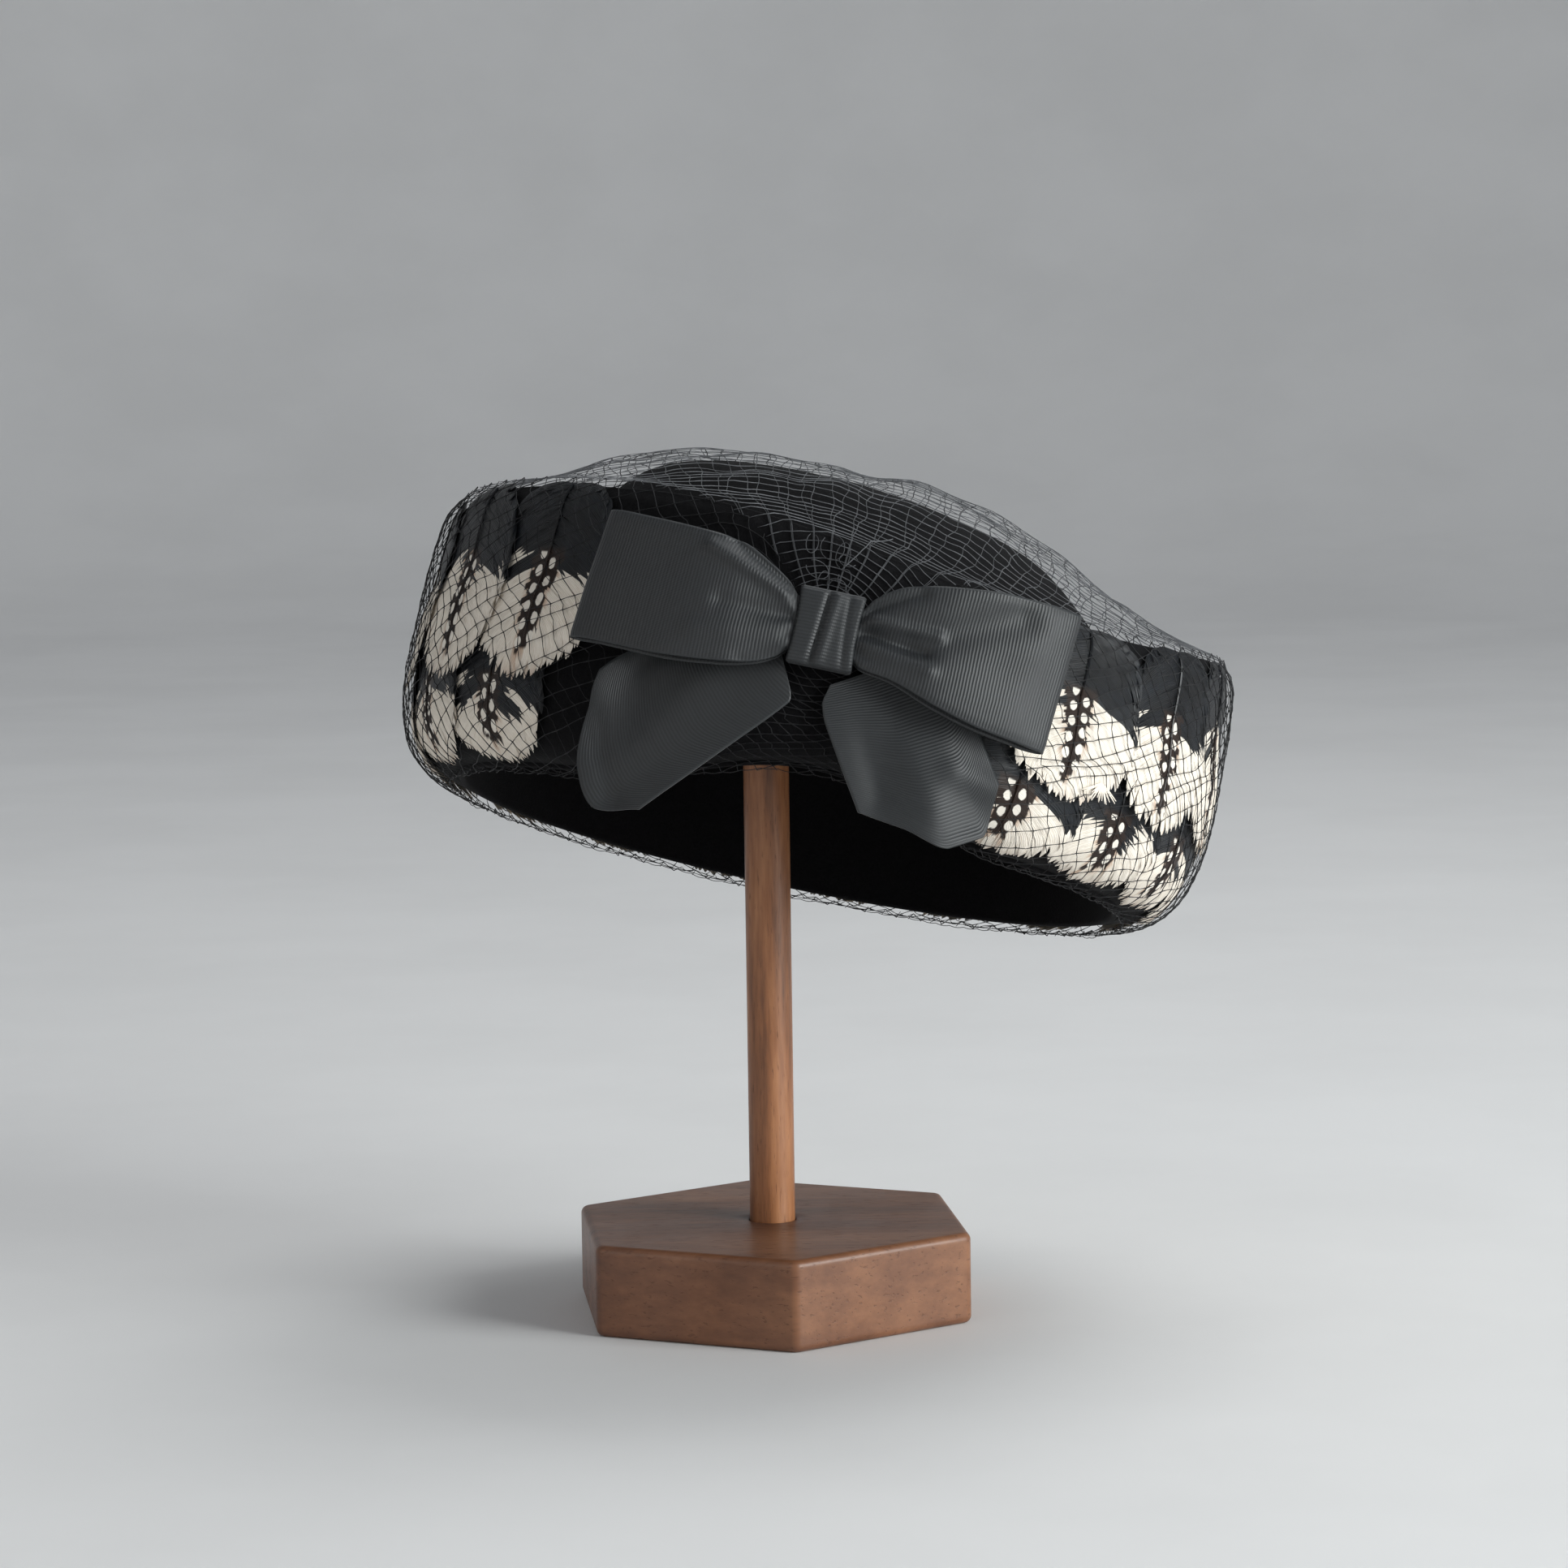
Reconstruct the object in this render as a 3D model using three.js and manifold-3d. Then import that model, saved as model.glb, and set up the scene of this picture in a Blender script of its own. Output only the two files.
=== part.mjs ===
import * as THREE from "three";
import { mergeVertices } from "three/addons/utils/BufferGeometryUtils.js";
import Module from "manifold-3d";

// A pillbox hat with a turned-up cuff of felt, two rows of lapped feathers, a net
// veil and a ribbon bow, held on a small wooden stand.
// Lengths are millimetres. The origin is the middle of the stand's underside,
// +Z is up, and the bow faces -Y.

// Room between pieces that touch
const CONTACT_GAP = 0.3;

// Stand
const BASE_CORNER_RADIUS = 56.8;
const BASE_THICKNESS = 24;
const BASE_EDGE_ROUND = 1.5;
const BASE_CORNER_ROUND = 3;
const BASE_TURN_DEG = -23.9;
const POST_DIAMETER = 12;
const POST_SOCKET_DEPTH = 14;
const REST_DIAMETER = 50;
const REST_CURVE_RADIUS = 42;
const REST_EDGE_HEIGHT = 6;
const REST_SOCKET_DEPTH = 8;

// Where the hat sits on the stand: the middle of its rim, and how it leans
const RIM_CENTRE_HEIGHT = 123.8;
const RIM_CENTRE_RIGHT = 5.46;
const HAT_LEAN_BACK_DEG = 13.75;
const HAT_LEAN_RIGHT_DEG = 13.15;

// Felt crown
const HEAD_RADIUS = 87;
const CROWN_WALL = 2;
const CROWN_HEIGHT = 95;
const CROWN_SLANT_DEG = 4.2;

// Felt cuff, turned up from the rim and free along its top edge
const CUFF_WALL = 2.2;
const CUFF_HEIGHT = 68.5;
const CUFF_FLARE = 14.9;

// The rim arches up at the front
const RIM_ARCH_RISE = 10;
const RIM_ARCH_HALF_DEG = 35;

// Feathers
const FEATHER_WIDTH = 42;
const FEATHER_WALL = 0.5;
const FEATHERS_IN_ROW = 15;

// Net veil
const VEIL_WALL = 0.8;
const VEIL_STRAND = 1.8;
const VEIL_COLUMNS = 15;
const VEIL_CROWN_LIFT = 2.6;

// Ribbon bow
const RIBBON_WIDTH = 35;
const RIBBON_WALL = 1;
const BOW_HEIGHT = 40.3;
const BOW_AZIMUTH_DEG = -2.6;
const KNOT_WIDTH = 15;
const KNOT_HEIGHT = 19.5;
const LOOP_LENGTH = 55;
const LOOP_DEPTH = 10;
const TAIL_LENGTH = 70;

// Facets round the crown and the cuff
const FELT_FACETS = 40;
const ROUND_FACETS = 20;

const degrees = THREE.MathUtils.degToRad;
const HALF_TURN = Math.PI;

// Sizes that follow from those above
const CROWN_RADIUS = HEAD_RADIUS + CROWN_WALL;
const CUFF_RIM_RADIUS = CROWN_RADIUS + CONTACT_GAP;
const CUFF_RADIUS = CUFF_RIM_RADIUS + CUFF_FLARE;
const BOW_AZIMUTH = degrees(BOW_AZIMUTH_DEG);

// Outer side of the crown, from the rim to the middle of the top:
// out is a share of CROWN_RADIUS, up a share of CROWN_HEIGHT.
const CROWN_RINGS = [
  { out: 1, up: 0 },
  { out: 0.995, up: 0.19 },
  { out: 0.966, up: 0.375 },
  { out: 0.9, up: 0.56 },
  { out: 0.81, up: 0.71 },
  { out: 0.727, up: 0.815 },
  { out: 0.663, up: 0.875 },
  { out: 0.6, up: 0.912 },
  { out: 0.48, up: 0.948 },
  { out: 0.33, up: 0.974 },
  { out: 0.17, up: 0.992 },
  { out: 0, up: 1 },
];

// Outer side of the cuff, from the rim to its free edge:
// out is a share of CUFF_FLARE, up a share of CUFF_HEIGHT.
const CUFF_RINGS = [
  { out: 0, up: 0 },
  { out: 0.25, up: 0.008 },
  { out: 0.52, up: 0.037 },
  { out: 0.74, up: 0.09 },
  { out: 0.9, up: 0.17 },
  { out: 0.975, up: 0.29 },
  { out: 1, up: 0.5 },
  { out: 0.99, up: 0.74 },
  { out: 0.965, up: 0.88 },
  { out: 0.91, up: 0.96 },
  { out: 0.82, up: 1 },
];

// The part of the crown's height over which its top begins to slant
const SLANT_FROM = 0.6;
const SLANT_TO = 0.9;
// The part of the cuff's height that the arch of the rim lifts
const ARCH_FADE = 0.5;

// Points of a ring table as radius and height, moved out by a distance square to
// the outline, so that a flat stretch stays parallel to itself.
function outlinePoints(rings, foot, reach, height, distance) {
  const points = rings.map((ring) => new THREE.Vector2(foot + ring.out * reach, ring.up * height));
  const normals = points.slice(1).map((point, i) => {
    const run = point.clone().sub(points[i]).normalize();
    return new THREE.Vector2(run.y, -run.x);
  });
  return points.map((point, i) => {
    const below = normals[Math.max(i - 1, 0)];
    const above = normals[Math.min(i, normals.length - 1)];
    const mitre = below.clone().add(above).divideScalar(1 + below.dot(above));
    return point.clone().addScaledVector(mitre, distance);
  });
}

// A point of an outline at a share of its height
function outlineAt(rings, points, up) {
  const above = Math.max(1, rings.findIndex((ring) => ring.up >= up - Number.EPSILON));
  const share = (up - rings[above - 1].up) / (rings[above].up - rings[above - 1].up);
  return points[above - 1].clone().lerp(points[above], share);
}

// A point at a radius and height, on the side of the hat that an azimuth names:
// 0 is the front and a positive azimuth lies to the right.
function roundPoint(azimuth, radius, height) {
  return new THREE.Vector3(radius * Math.sin(azimuth), -radius * Math.cos(azimuth), height);
}

// How far the rim's arch lifts a point of the hat's wall
function archRise(azimuth, height) {
  const turn = Math.abs(Math.atan2(Math.sin(azimuth), Math.cos(azimuth)));
  const side = Math.min(turn / degrees(RIM_ARCH_HALF_DEG), 1);
  const fade = THREE.MathUtils.clamp(1 - height / (ARCH_FADE * CUFF_HEIGHT), 0, 1);
  return RIM_ARCH_RISE * Math.cos((side * HALF_TURN) / 2) ** 2 * fade;
}

// How far the slant of the top lifts a point of the crown
function slantRise(right, height) {
  const weight = THREE.MathUtils.smoothstep(height / CROWN_HEIGHT, SLANT_FROM, SLANT_TO);
  return -right * Math.tan(degrees(CROWN_SLANT_DEG)) * weight;
}

// A point that stands off the crown's outer side
function crownPoint(azimuth, up, distance) {
  const outline = outlinePoints(CROWN_RINGS, 0, CROWN_RADIUS, CROWN_HEIGHT, distance);
  const { x: radius, y: height } = outlineAt(CROWN_RINGS, outline, up);
  const point = roundPoint(azimuth, radius, height + archRise(azimuth, height));
  point.z += slantRise(point.x, height);
  return point;
}

// A point that stands off the cuff's outer side
function cuffPoint(azimuth, up, distance) {
  const outline = outlinePoints(CUFF_RINGS, CUFF_RIM_RADIUS, CUFF_FLARE, CUFF_HEIGHT, distance);
  const { x: radius, y: height } = outlineAt(CUFF_RINGS, outline, up);
  return roundPoint(azimuth, radius, height + archRise(azimuth, height));
}

// Triangles of one closed piece, gathered corner by corner
class Faces {
  constructor() {
    this.corners = [];
  }

  triangle(a, b, c) {
    if (!a.equals(b) && !b.equals(c) && !c.equals(a)) this.corners.push(a, b, c);
  }

  quad(a, b, c, d) {
    this.triangle(a, b, c);
    this.triangle(a, c, d);
  }

  // The merged geometry, turned so that its faces point out
  geometry() {
    let volume = 0;
    for (let i = 0; i < this.corners.length; i += 3) {
      const [a, b, c] = this.corners.slice(i, i + 3);
      volume += a.dot(b.clone().cross(c));
    }
    const corners = volume < 0 ? this.corners.toReversed() : this.corners;
    return mergeVertices(new THREE.BufferGeometry().setFromPoints(corners));
  }
}

// A wall between two grids of points. Rows run one way and columns the other;
// the columns may close round, and a row may shrink to one point.
function wall(outer, inner, closesRound) {
  const faces = new Faces();
  const last = outer.length - 1;
  const columns = outer[0].length;
  const steps = closesRound ? columns : columns - 1;
  for (let col = 0; col < steps; col++) {
    const next = (col + 1) % columns;
    for (let row = 0; row < last; row++) {
      const up = row + 1;
      faces.quad(outer[row][col], outer[row][next], outer[up][next], outer[up][col]);
      faces.quad(inner[row][col], inner[up][col], inner[up][next], inner[row][next]);
    }
    faces.quad(inner[0][col], inner[0][next], outer[0][next], outer[0][col]);
    faces.quad(outer[last][col], outer[last][next], inner[last][next], inner[last][col]);
  }
  if (closesRound) return faces.geometry();
  const side = columns - 1;
  for (let row = 0; row < last; row++) {
    const up = row + 1;
    faces.quad(outer[row][0], outer[up][0], inner[up][0], inner[row][0]);
    faces.quad(inner[row][side], inner[up][side], outer[up][side], outer[row][side]);
  }
  return faces.geometry();
}

const FELT = { color: 0x17161a, roughness: 0.9, metalness: 0 };
const DARK_PLUME = { color: 0x8c8069, roughness: 0.6, metalness: 0 };
const PALE_PLUME = { color: 0xcdbd9c, roughness: 0.6, metalness: 0 };
const NET = { color: 0x222226, roughness: 0.5, metalness: 0 };
const RIBBON = { color: 0x3d4349, roughness: 0.6, metalness: 0 };
const WOOD = { color: 0x8a5a3c, roughness: 0.5, metalness: 0 };

// A named piece with a material of its own
function piece(name, geometry, finish) {
  const mesh = new THREE.Mesh(geometry, new THREE.MeshStandardMaterial(finish));
  mesh.name = name;
  return mesh;
}

// Evenly spaced shares from 0 to 1
function shares(steps) {
  return Array.from({ length: steps + 1 }, (_, i) => i / steps);
}

// Felt: each ring of a table becomes a ring of points round the hat
function feltRings(rings, pointAt, distance) {
  return rings.map((ring) =>
    Array.from({ length: FELT_FACETS }, (_, i) =>
      pointAt((2 * HALF_TURN * i) / FELT_FACETS, ring.up, distance),
    ),
  );
}

const crownInside = feltRings(CROWN_RINGS, crownPoint, -CROWN_WALL);

function crown() {
  return piece("crown", wall(feltRings(CROWN_RINGS, crownPoint, 0), crownInside, true), FELT);
}

function cuff() {
  const outer = feltRings(CUFF_RINGS, cuffPoint, 0);
  const inner = feltRings(CUFF_RINGS, cuffPoint, -CUFF_WALL);
  return piece("cuff", wall(outer, inner, true), FELT);
}

// Feathers lap sideways: each rises across its width by one feather and one gap
// for each neighbour it passes over. The upper row also rises over the lower one.
const FEATHER_ANGLE = FEATHER_WIDTH / CUFF_RADIUS;
const ACROSS_STEPS = 4;

// First and last feather of a row by azimuth. Stations run from quill to tip:
// up is a share of CUFF_HEIGHT, half a share of half the feather's width, and
// over says how much of the lower row's height the feather stands on there.
const LOWER_ROW = {
  name: "lower_feather",
  finish: PALE_PLUME,
  firstDeg: 28,
  lastDeg: 307,
  stations: [
    { up: 0.47, half: 0.7, over: 0 },
    { up: 0.29, half: 0.94, over: 0 },
    { up: 0.17, half: 1, over: 0 },
    { up: 0.09, half: 0.97, over: 0 },
    { up: 0.037, half: 0.82, over: 0 },
    { up: 0.008, half: 0.45, over: 0 },
  ],
};
const UPPER_ROW = {
  name: "upper_feather",
  finish: DARK_PLUME,
  firstDeg: 36,
  lastDeg: 314.5,
  stations: [
    { up: 0.96, half: 0.72, over: 0 },
    { up: 0.88, half: 0.88, over: 0 },
    { up: 0.74, half: 0.97, over: 0 },
    { up: 0.5, half: 1, over: 1 },
    { up: 0.34, half: 0.92, over: 1 },
    { up: 0.25, half: 0.5, over: 1 },
  ],
};

function rowPitch(row) {
  return degrees((row.lastDeg - row.firstDeg) / (FEATHERS_IN_ROW - 1));
}

function lapRise(row) {
  return ((FEATHER_WALL + CONTACT_GAP) * FEATHER_ANGLE) / rowPitch(row);
}

const LOWER_ROW_TOP = CONTACT_GAP + lapRise(LOWER_ROW) + FEATHER_WALL;
const UPPER_ROW_TOP = LOWER_ROW_TOP + CONTACT_GAP + lapRise(UPPER_ROW) + FEATHER_WALL;

function feather(row, slot) {
  const middle = degrees(row.firstDeg) + slot * rowPitch(row);
  const side = (extra) =>
    row.stations.map((station) =>
      shares(ACROSS_STEPS).map((share) => {
        const across = station.half * (2 * share - 1);
        const azimuth = middle + (across * FEATHER_ANGLE) / 2;
        const lap = (lapRise(row) * (1 + across)) / 2;
        const seat = CONTACT_GAP + station.over * LOWER_ROW_TOP;
        return cuffPoint(azimuth, station.up, seat + lap + extra);
      }),
    );
  const number = String(slot + 1).padStart(2, "0");
  return piece(`${row.name}_${number}`, wall(side(FEATHER_WALL), side(0), false), row.finish);
}

function feathers() {
  return [UPPER_ROW, LOWER_ROW].flatMap((row) =>
    Array.from({ length: FEATHERS_IN_ROW }, (_, slot) => feather(row, slot)),
  );
}

// Net veil: a lattice of crossing strands with open diamonds between them
const VEIL_STEP = (2 * HALF_TURN) / VEIL_COLUMNS;
const CHORD_SAG = CUFF_RADIUS * (1 - Math.cos(VEIL_STEP / 4));
// The sector at the front without feathers, where the net lies on the felt
const BARE_RIGHT = degrees(LOWER_ROW.firstDeg) - FEATHER_ANGLE / 2;
const BARE_LEFT = 2 * HALF_TURN - degrees(UPPER_ROW.lastDeg) - FEATHER_ANGLE / 2;
const BARE_BLEND = degrees(9);

// Rows of knots from the hem to the middle of the top. up is a share of the
// height of the cuff or the crown, over a share of the feathers' height that
// the net lies on there, and lift a share of VEIL_CROWN_LIFT that it puffs up.
const VEIL_ROWS = [
  { on: cuffPoint, up: 0.037, over: 0.5, lift: 0.6 },
  { on: cuffPoint, up: 0.17, over: 0.75, lift: 0.5 },
  { on: cuffPoint, up: 0.45, over: 1, lift: 0.15 },
  { on: cuffPoint, up: 0.78, over: 1, lift: 0.35 },
  { on: cuffPoint, up: 1, over: 0.8, lift: 0.55 },
  { on: crownPoint, up: 0.8, over: 0, lift: 4.2 },
  { on: crownPoint, up: 0.912, over: 0, lift: 1.4 },
  { on: crownPoint, up: 0.974, over: 0, lift: 1 },
  { on: crownPoint, up: 0.992, over: 0, lift: 1 },
];

// How far the net stands off the felt of the cuff, on a share of the feathers' height
function veilSeat(azimuth, over) {
  const turn = Math.atan2(Math.sin(azimuth), Math.cos(azimuth));
  const edge = turn > 0 ? BARE_RIGHT : BARE_LEFT;
  const feathered = THREE.MathUtils.smoothstep(Math.abs(turn), edge - BARE_BLEND, edge);
  return CONTACT_GAP + CHORD_SAG + UPPER_ROW_TOP * over * feathered;
}

function veilPoint(column, rowShare, distance) {
  const azimuth = column * VEIL_STEP;
  const below = Math.min(Math.floor(rowShare), VEIL_ROWS.length - 2);
  const [low, high] = [below, below + 1].map((i) => {
    const { on, up, over, lift } = VEIL_ROWS[i];
    return on(azimuth, up, veilSeat(azimuth, over) + lift * VEIL_CROWN_LIFT + distance);
  });
  return low.lerp(high, rowShare - below);
}

// A strand takes up at most this share of the way to the middle of its cell
const STRAND_LIMIT = 1 / 3;

// One open cell of the net, whose corners are given as column and row. Each of
// its sides is half a strand wide.
function addVeilCell(faces, corners) {
  const side = (distance) => {
    const rim = corners.map(([column, row]) => veilPoint(column, row, distance));
    const middle = rim.reduce((sum, point) => sum.add(point), new THREE.Vector3());
    middle.divideScalar(rim.length);
    const reach = Math.min(...rim.map((point, i) => {
      const edge = new THREE.Line3(point, rim[(i + 1) % rim.length]);
      return edge.closestPointToPoint(middle, true, new THREE.Vector3()).distanceTo(middle);
    }));
    const strand = Math.min(VEIL_STRAND / 2 / reach, STRAND_LIMIT);
    return { rim, hole: rim.map((point) => point.clone().lerp(middle, strand)) };
  };
  const front = side(VEIL_WALL);
  const back = side(0);
  corners.forEach((_, i) => {
    const next = (i + 1) % corners.length;
    faces.quad(front.rim[i], front.rim[next], front.hole[next], front.hole[i]);
    faces.quad(back.rim[next], back.rim[i], back.hole[i], back.hole[next]);
    faces.quad(front.hole[i], front.hole[next], back.hole[next], back.hole[i]);
  });
}

function veil() {
  const faces = new Faces();
  const top = VEIL_ROWS.length - 1;
  for (let row = 0; row + 2 <= top; row++) {
    for (let i = 0; i < VEIL_COLUMNS; i++) {
      const column = i + (row % 2) / 2;
      const sides = [column + 0.5, column - 0.5];
      addVeilCell(faces, [[column, row], [sides[0], row + 1], [column, row + 2], [sides[1], row + 1]]);
    }
  }
  const pole = (distance) => crownPoint(0, 1, VEIL_CROWN_LIFT + distance);
  for (let i = 0; i < VEIL_COLUMNS; i++) {
    const column = i + (top % 2) / 2;
    addVeilCell(faces, [[column + 0.5, top - 1], [column + 1, top], [column, top]]);
    const [left, right] = [column, column + 1];
    faces.triangle(veilPoint(left, top, VEIL_WALL), veilPoint(right, top, VEIL_WALL), pole(VEIL_WALL));
    faces.triangle(veilPoint(right, top, 0), veilPoint(left, top, 0), pole(0));
    for (const [from, to] of [[[i, 0], [i + 0.5, 1]], [[i + 0.5, 1], [i + 1, 0]]]) {
      const [a, b] = [veilPoint(...from, 0), veilPoint(...to, 0)];
      const [c, d] = [veilPoint(...to, VEIL_WALL), veilPoint(...from, VEIL_WALL)];
      faces.quad(a, b, c, d);
    }
  }
  return piece("veil", faces.geometry(), NET);
}

// Ribbon bow, laid out on the wall of the cuff: right is measured round the cuff
// from the knot, up from the middle of the knot, and off outwards from the felt.
function bowPoint(right, up, off) {
  return roundPoint(BOW_AZIMUTH + right / CUFF_RADIUS, CUFF_RADIUS + off, BOW_HEIGHT + up);
}

// Room for the flat facets of what lies on the round wall
const LAY_ROOM = 0.2;

// How far a ribbon that lies on the net stands off the felt
function ribbonSeat(right) {
  return veilSeat(BOW_AZIMUTH + right / CUFF_RADIUS, 1) + VEIL_WALL + CONTACT_GAP + LAY_ROOM;
}

const KNOT_SEAT = ribbonSeat(0);
const LOOP_SEAT = KNOT_SEAT + RIBBON_WALL + CONTACT_GAP;

// Loops, from inside the knot to the outer fold: out is a share of LOOP_LENGTH,
// top and bottom are the ribbon's edges as shares of RIBBON_WIDTH, and back and
// front are the two layers' places as shares of LOOP_DEPTH. At the outer fold the
// lower edge stands skew further out, as a share of LOOP_LENGTH.
const LEFT_LOOP = {
  name: "bow_loop_left",
  side: -1,
  reach: 1.03,
  skew: 0.07,
  rows: [
    { out: 0.02, top: 0.17, bottom: -0.17, back: 0, front: 0.36 },
    { out: 0.13, top: 0.185, bottom: -0.185, back: 0, front: 0.38 },
    { out: 0.18, top: 0.27, bottom: -0.26, back: 0.03, front: 0.46 },
    { out: 0.26, top: 0.36, bottom: -0.33, back: 0.12, front: 0.62 },
    { out: 0.4, top: 0.475, bottom: -0.385, back: 0.24, front: 0.85 },
    { out: 0.6, top: 0.515, bottom: -0.41, back: 0.35, front: 1 },
    { out: 0.82, top: 0.545, bottom: -0.385, back: 0.4, front: 1 },
    { out: 0.94, top: 0.56, bottom: -0.37, back: 0.42, front: 0.98 },
  ],
};
const RIGHT_LOOP = {
  name: "bow_loop_right",
  side: 1,
  reach: 1.02,
  skew: -0.05,
  rows: [
    { out: 0.02, top: 0.17, bottom: -0.17, back: 0, front: 0.36 },
    { out: 0.13, top: 0.185, bottom: -0.185, back: 0, front: 0.38 },
    { out: 0.17, top: 0.27, bottom: -0.225, back: 0.03, front: 0.46 },
    { out: 0.29, top: 0.4, bottom: -0.265, back: 0.2, front: 0.68 },
    { out: 0.5, top: 0.475, bottom: -0.39, back: 0.38, front: 0.95 },
    { out: 0.7, top: 0.515, bottom: -0.465, back: 0.45, front: 1 },
    { out: 0.86, top: 0.52, bottom: -0.49, back: 0.46, front: 1 },
    { out: 0.94, top: 0.515, bottom: -0.5, back: 0.46, front: 0.98 },
  ],
};
const LOOP_ACROSS_STEPS = 4;
const FOLD_TURNS = [0.25, 0.5, 0.75];

// The run of a loop from the knot out along the back, round the fold and in
// along the front: each stop has its place and the ribbon's edges there.
function loopStops(loop) {
  const last = loop.rows.at(-1);
  const layer = (side) =>
    loop.rows.map((row) => ({ ...row, off: LOOP_SEAT + row[side] * LOOP_DEPTH }));
  const turn = FOLD_TURNS.map((share) => {
    const angle = HALF_TURN * share;
    const deep = THREE.MathUtils.lerp(last.back, last.front, (1 - Math.cos(angle)) / 2);
    const out = THREE.MathUtils.lerp(last.out, 1, Math.sin(angle));
    return { ...last, out, off: LOOP_SEAT + deep * LOOP_DEPTH };
  });
  return [...layer("back"), ...turn, ...layer("front").reverse()];
}

function bowLoop(loop) {
  const stops = loopStops(loop).map((stop) => ({
    ...stop,
    right: loop.side * stop.out * loop.reach * LOOP_LENGTH,
  }));
  const side = (distance) =>
    stops.map((stop, i) => {
      const before = stops[Math.max(i - 1, 0)];
      const after = stops[Math.min(i + 1, stops.length - 1)];
      const run = new THREE.Vector2(after.right - before.right, after.off - before.off).normalize();
      return shares(LOOP_ACROSS_STEPS).map((share) => {
        const up = THREE.MathUtils.lerp(stop.bottom, stop.top, share) * RIBBON_WIDTH;
        const skew = loop.side * loop.skew * LOOP_LENGTH * stop.out ** 2 * (0.5 - share);
        const right = stop.right + skew + loop.side * run.y * distance;
        return bowPoint(right, up, stop.off - loop.side * run.x * distance);
      });
    });
  return piece(loop.name, wall(side(0), side(-RIBBON_WALL), false), RIBBON);
}

// Knot: a band of ribbon wound once round the gathered loops
const KNOT_FACETS = 20;
const KNOT_ACROSS_STEPS = 2;
const KNOT_SQUARENESS = 5;

function bowKnot() {
  const front = LOOP_SEAT + LEFT_LOOP.rows[1].front * LOOP_DEPTH + CONTACT_GAP + RIBBON_WALL;
  const middle = (KNOT_SEAT + front) / 2;
  const side = (thickness) =>
    shares(KNOT_ACROSS_STEPS).map((share) =>
      Array.from({ length: KNOT_FACETS }, (_, i) => {
        const angle = (2 * HALF_TURN * i) / KNOT_FACETS;
        const round = (value) => Math.sign(value) * Math.abs(value) ** (2 / KNOT_SQUARENESS);
        const deep = front - middle - thickness;
        const tall = KNOT_HEIGHT / 2 - thickness;
        const right = (share - 0.5) * KNOT_WIDTH;
        return bowPoint(right, tall * round(Math.sin(angle)), middle + deep * round(Math.cos(angle)));
      }),
    );
  return piece("bow_knot", wall(side(0), side(RIBBON_WALL), true), RIBBON);
}

// Tails hang from under the knot at an angle below the hat's own level. Rows run
// from the knot to the cut end: along is a share of the way, and inner and outer
// are the ribbon's edges as shares of RIBBON_WIDTH. The cut end is a row of
// lengths across the ribbon, as shares of TAIL_LENGTH.
const LEFT_TAIL = {
  name: "bow_tail_left",
  side: -1,
  fallDeg: 47,
  root: 0.16,
  rows: [
    { along: 0, inner: 0.08, outer: 0.3 },
    { along: 0.12, inner: -0.26, outer: 0.6 },
    { along: 0.3, inner: -0.27, outer: 0.7 },
    { along: 0.5, inner: -0.27, outer: 0.71 },
    { along: 0.75, inner: -0.27, outer: 0.71 },
    { along: 1, inner: -0.27, outer: 0.69 },
  ],
  cut: [0.88, 1.01, 0.97, 0.87, 0.7],
};
const RIGHT_TAIL = {
  name: "bow_tail_right",
  side: 1,
  fallDeg: 58.6,
  root: 0.18,
  rows: [
    { along: 0, inner: -0.1, outer: 0.3 },
    { along: 0.13, inner: -0.2, outer: 0.6 },
    { along: 0.3, inner: -0.225, outer: 0.73 },
    { along: 0.5, inner: -0.225, outer: 0.75 },
    { along: 0.75, inner: -0.225, outer: 0.75 },
    { along: 1, inner: -0.225, outer: 0.74 },
  ],
  cut: [0.63, 0.73, 0.84, 0.84, 0.68],
};

function bowTail(tail) {
  const fall = degrees(tail.fallDeg);
  const side = (thickness) =>
    tail.rows.map((row) =>
      tail.cut.map((end, i) => {
        const share = i / (tail.cut.length - 1);
        const across = THREE.MathUtils.lerp(row.inner, row.outer, share) * RIBBON_WIDTH;
        const along = THREE.MathUtils.lerp(tail.root, end, row.along) * TAIL_LENGTH;
        const right = tail.side * (along * Math.cos(fall) + across * Math.sin(fall));
        const up = across * Math.cos(fall) - along * Math.sin(fall);
        return bowPoint(right, up, ribbonSeat(right) + thickness);
      }),
    );
  return piece(tail.name, wall(side(RIBBON_WALL), side(0), false), RIBBON);
}

// Stand: a hexagonal base with a blind socket, a round post, and the hidden rest
// under the crown
const wasm = await Module();
wasm.setup();

// A closed geometry as a solid, from its merged corners alone
function solidOf(geometry) {
  const bare = geometry.clone();
  bare.deleteAttribute("normal");
  bare.deleteAttribute("uv");
  const merged = mergeVertices(bare);
  const triVerts = Uint32Array.from(merged.index.array);
  const vertProperties = Float32Array.from(merged.attributes.position.array);
  return new wasm.Manifold(new wasm.Mesh({ numProp: 3, vertProperties, triVerts }));
}

function geometryOf(solid) {
  const { vertProperties, triVerts } = solid.getMesh();
  const geometry = new THREE.BufferGeometry();
  geometry.setAttribute("position", new THREE.BufferAttribute(vertProperties, 3));
  return geometry.setIndex(new THREE.BufferAttribute(triVerts, 1));
}

// A hexagon whose corners are rounded by short arcs
function roundedHexagon(cornerRadius, round) {
  const outline = new THREE.Shape();
  const arcCentreRadius = cornerRadius - round / Math.cos(HALF_TURN / 6);
  for (let i = 0; i < 6; i++) {
    const angle = (i * HALF_TURN) / 3;
    const [x, y] = [arcCentreRadius * Math.cos(angle), arcCentreRadius * Math.sin(angle)];
    outline.absarc(x, y, round, angle - HALF_TURN / 6, angle + HALF_TURN / 6, false);
  }
  outline.closePath();
  return outline;
}

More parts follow.
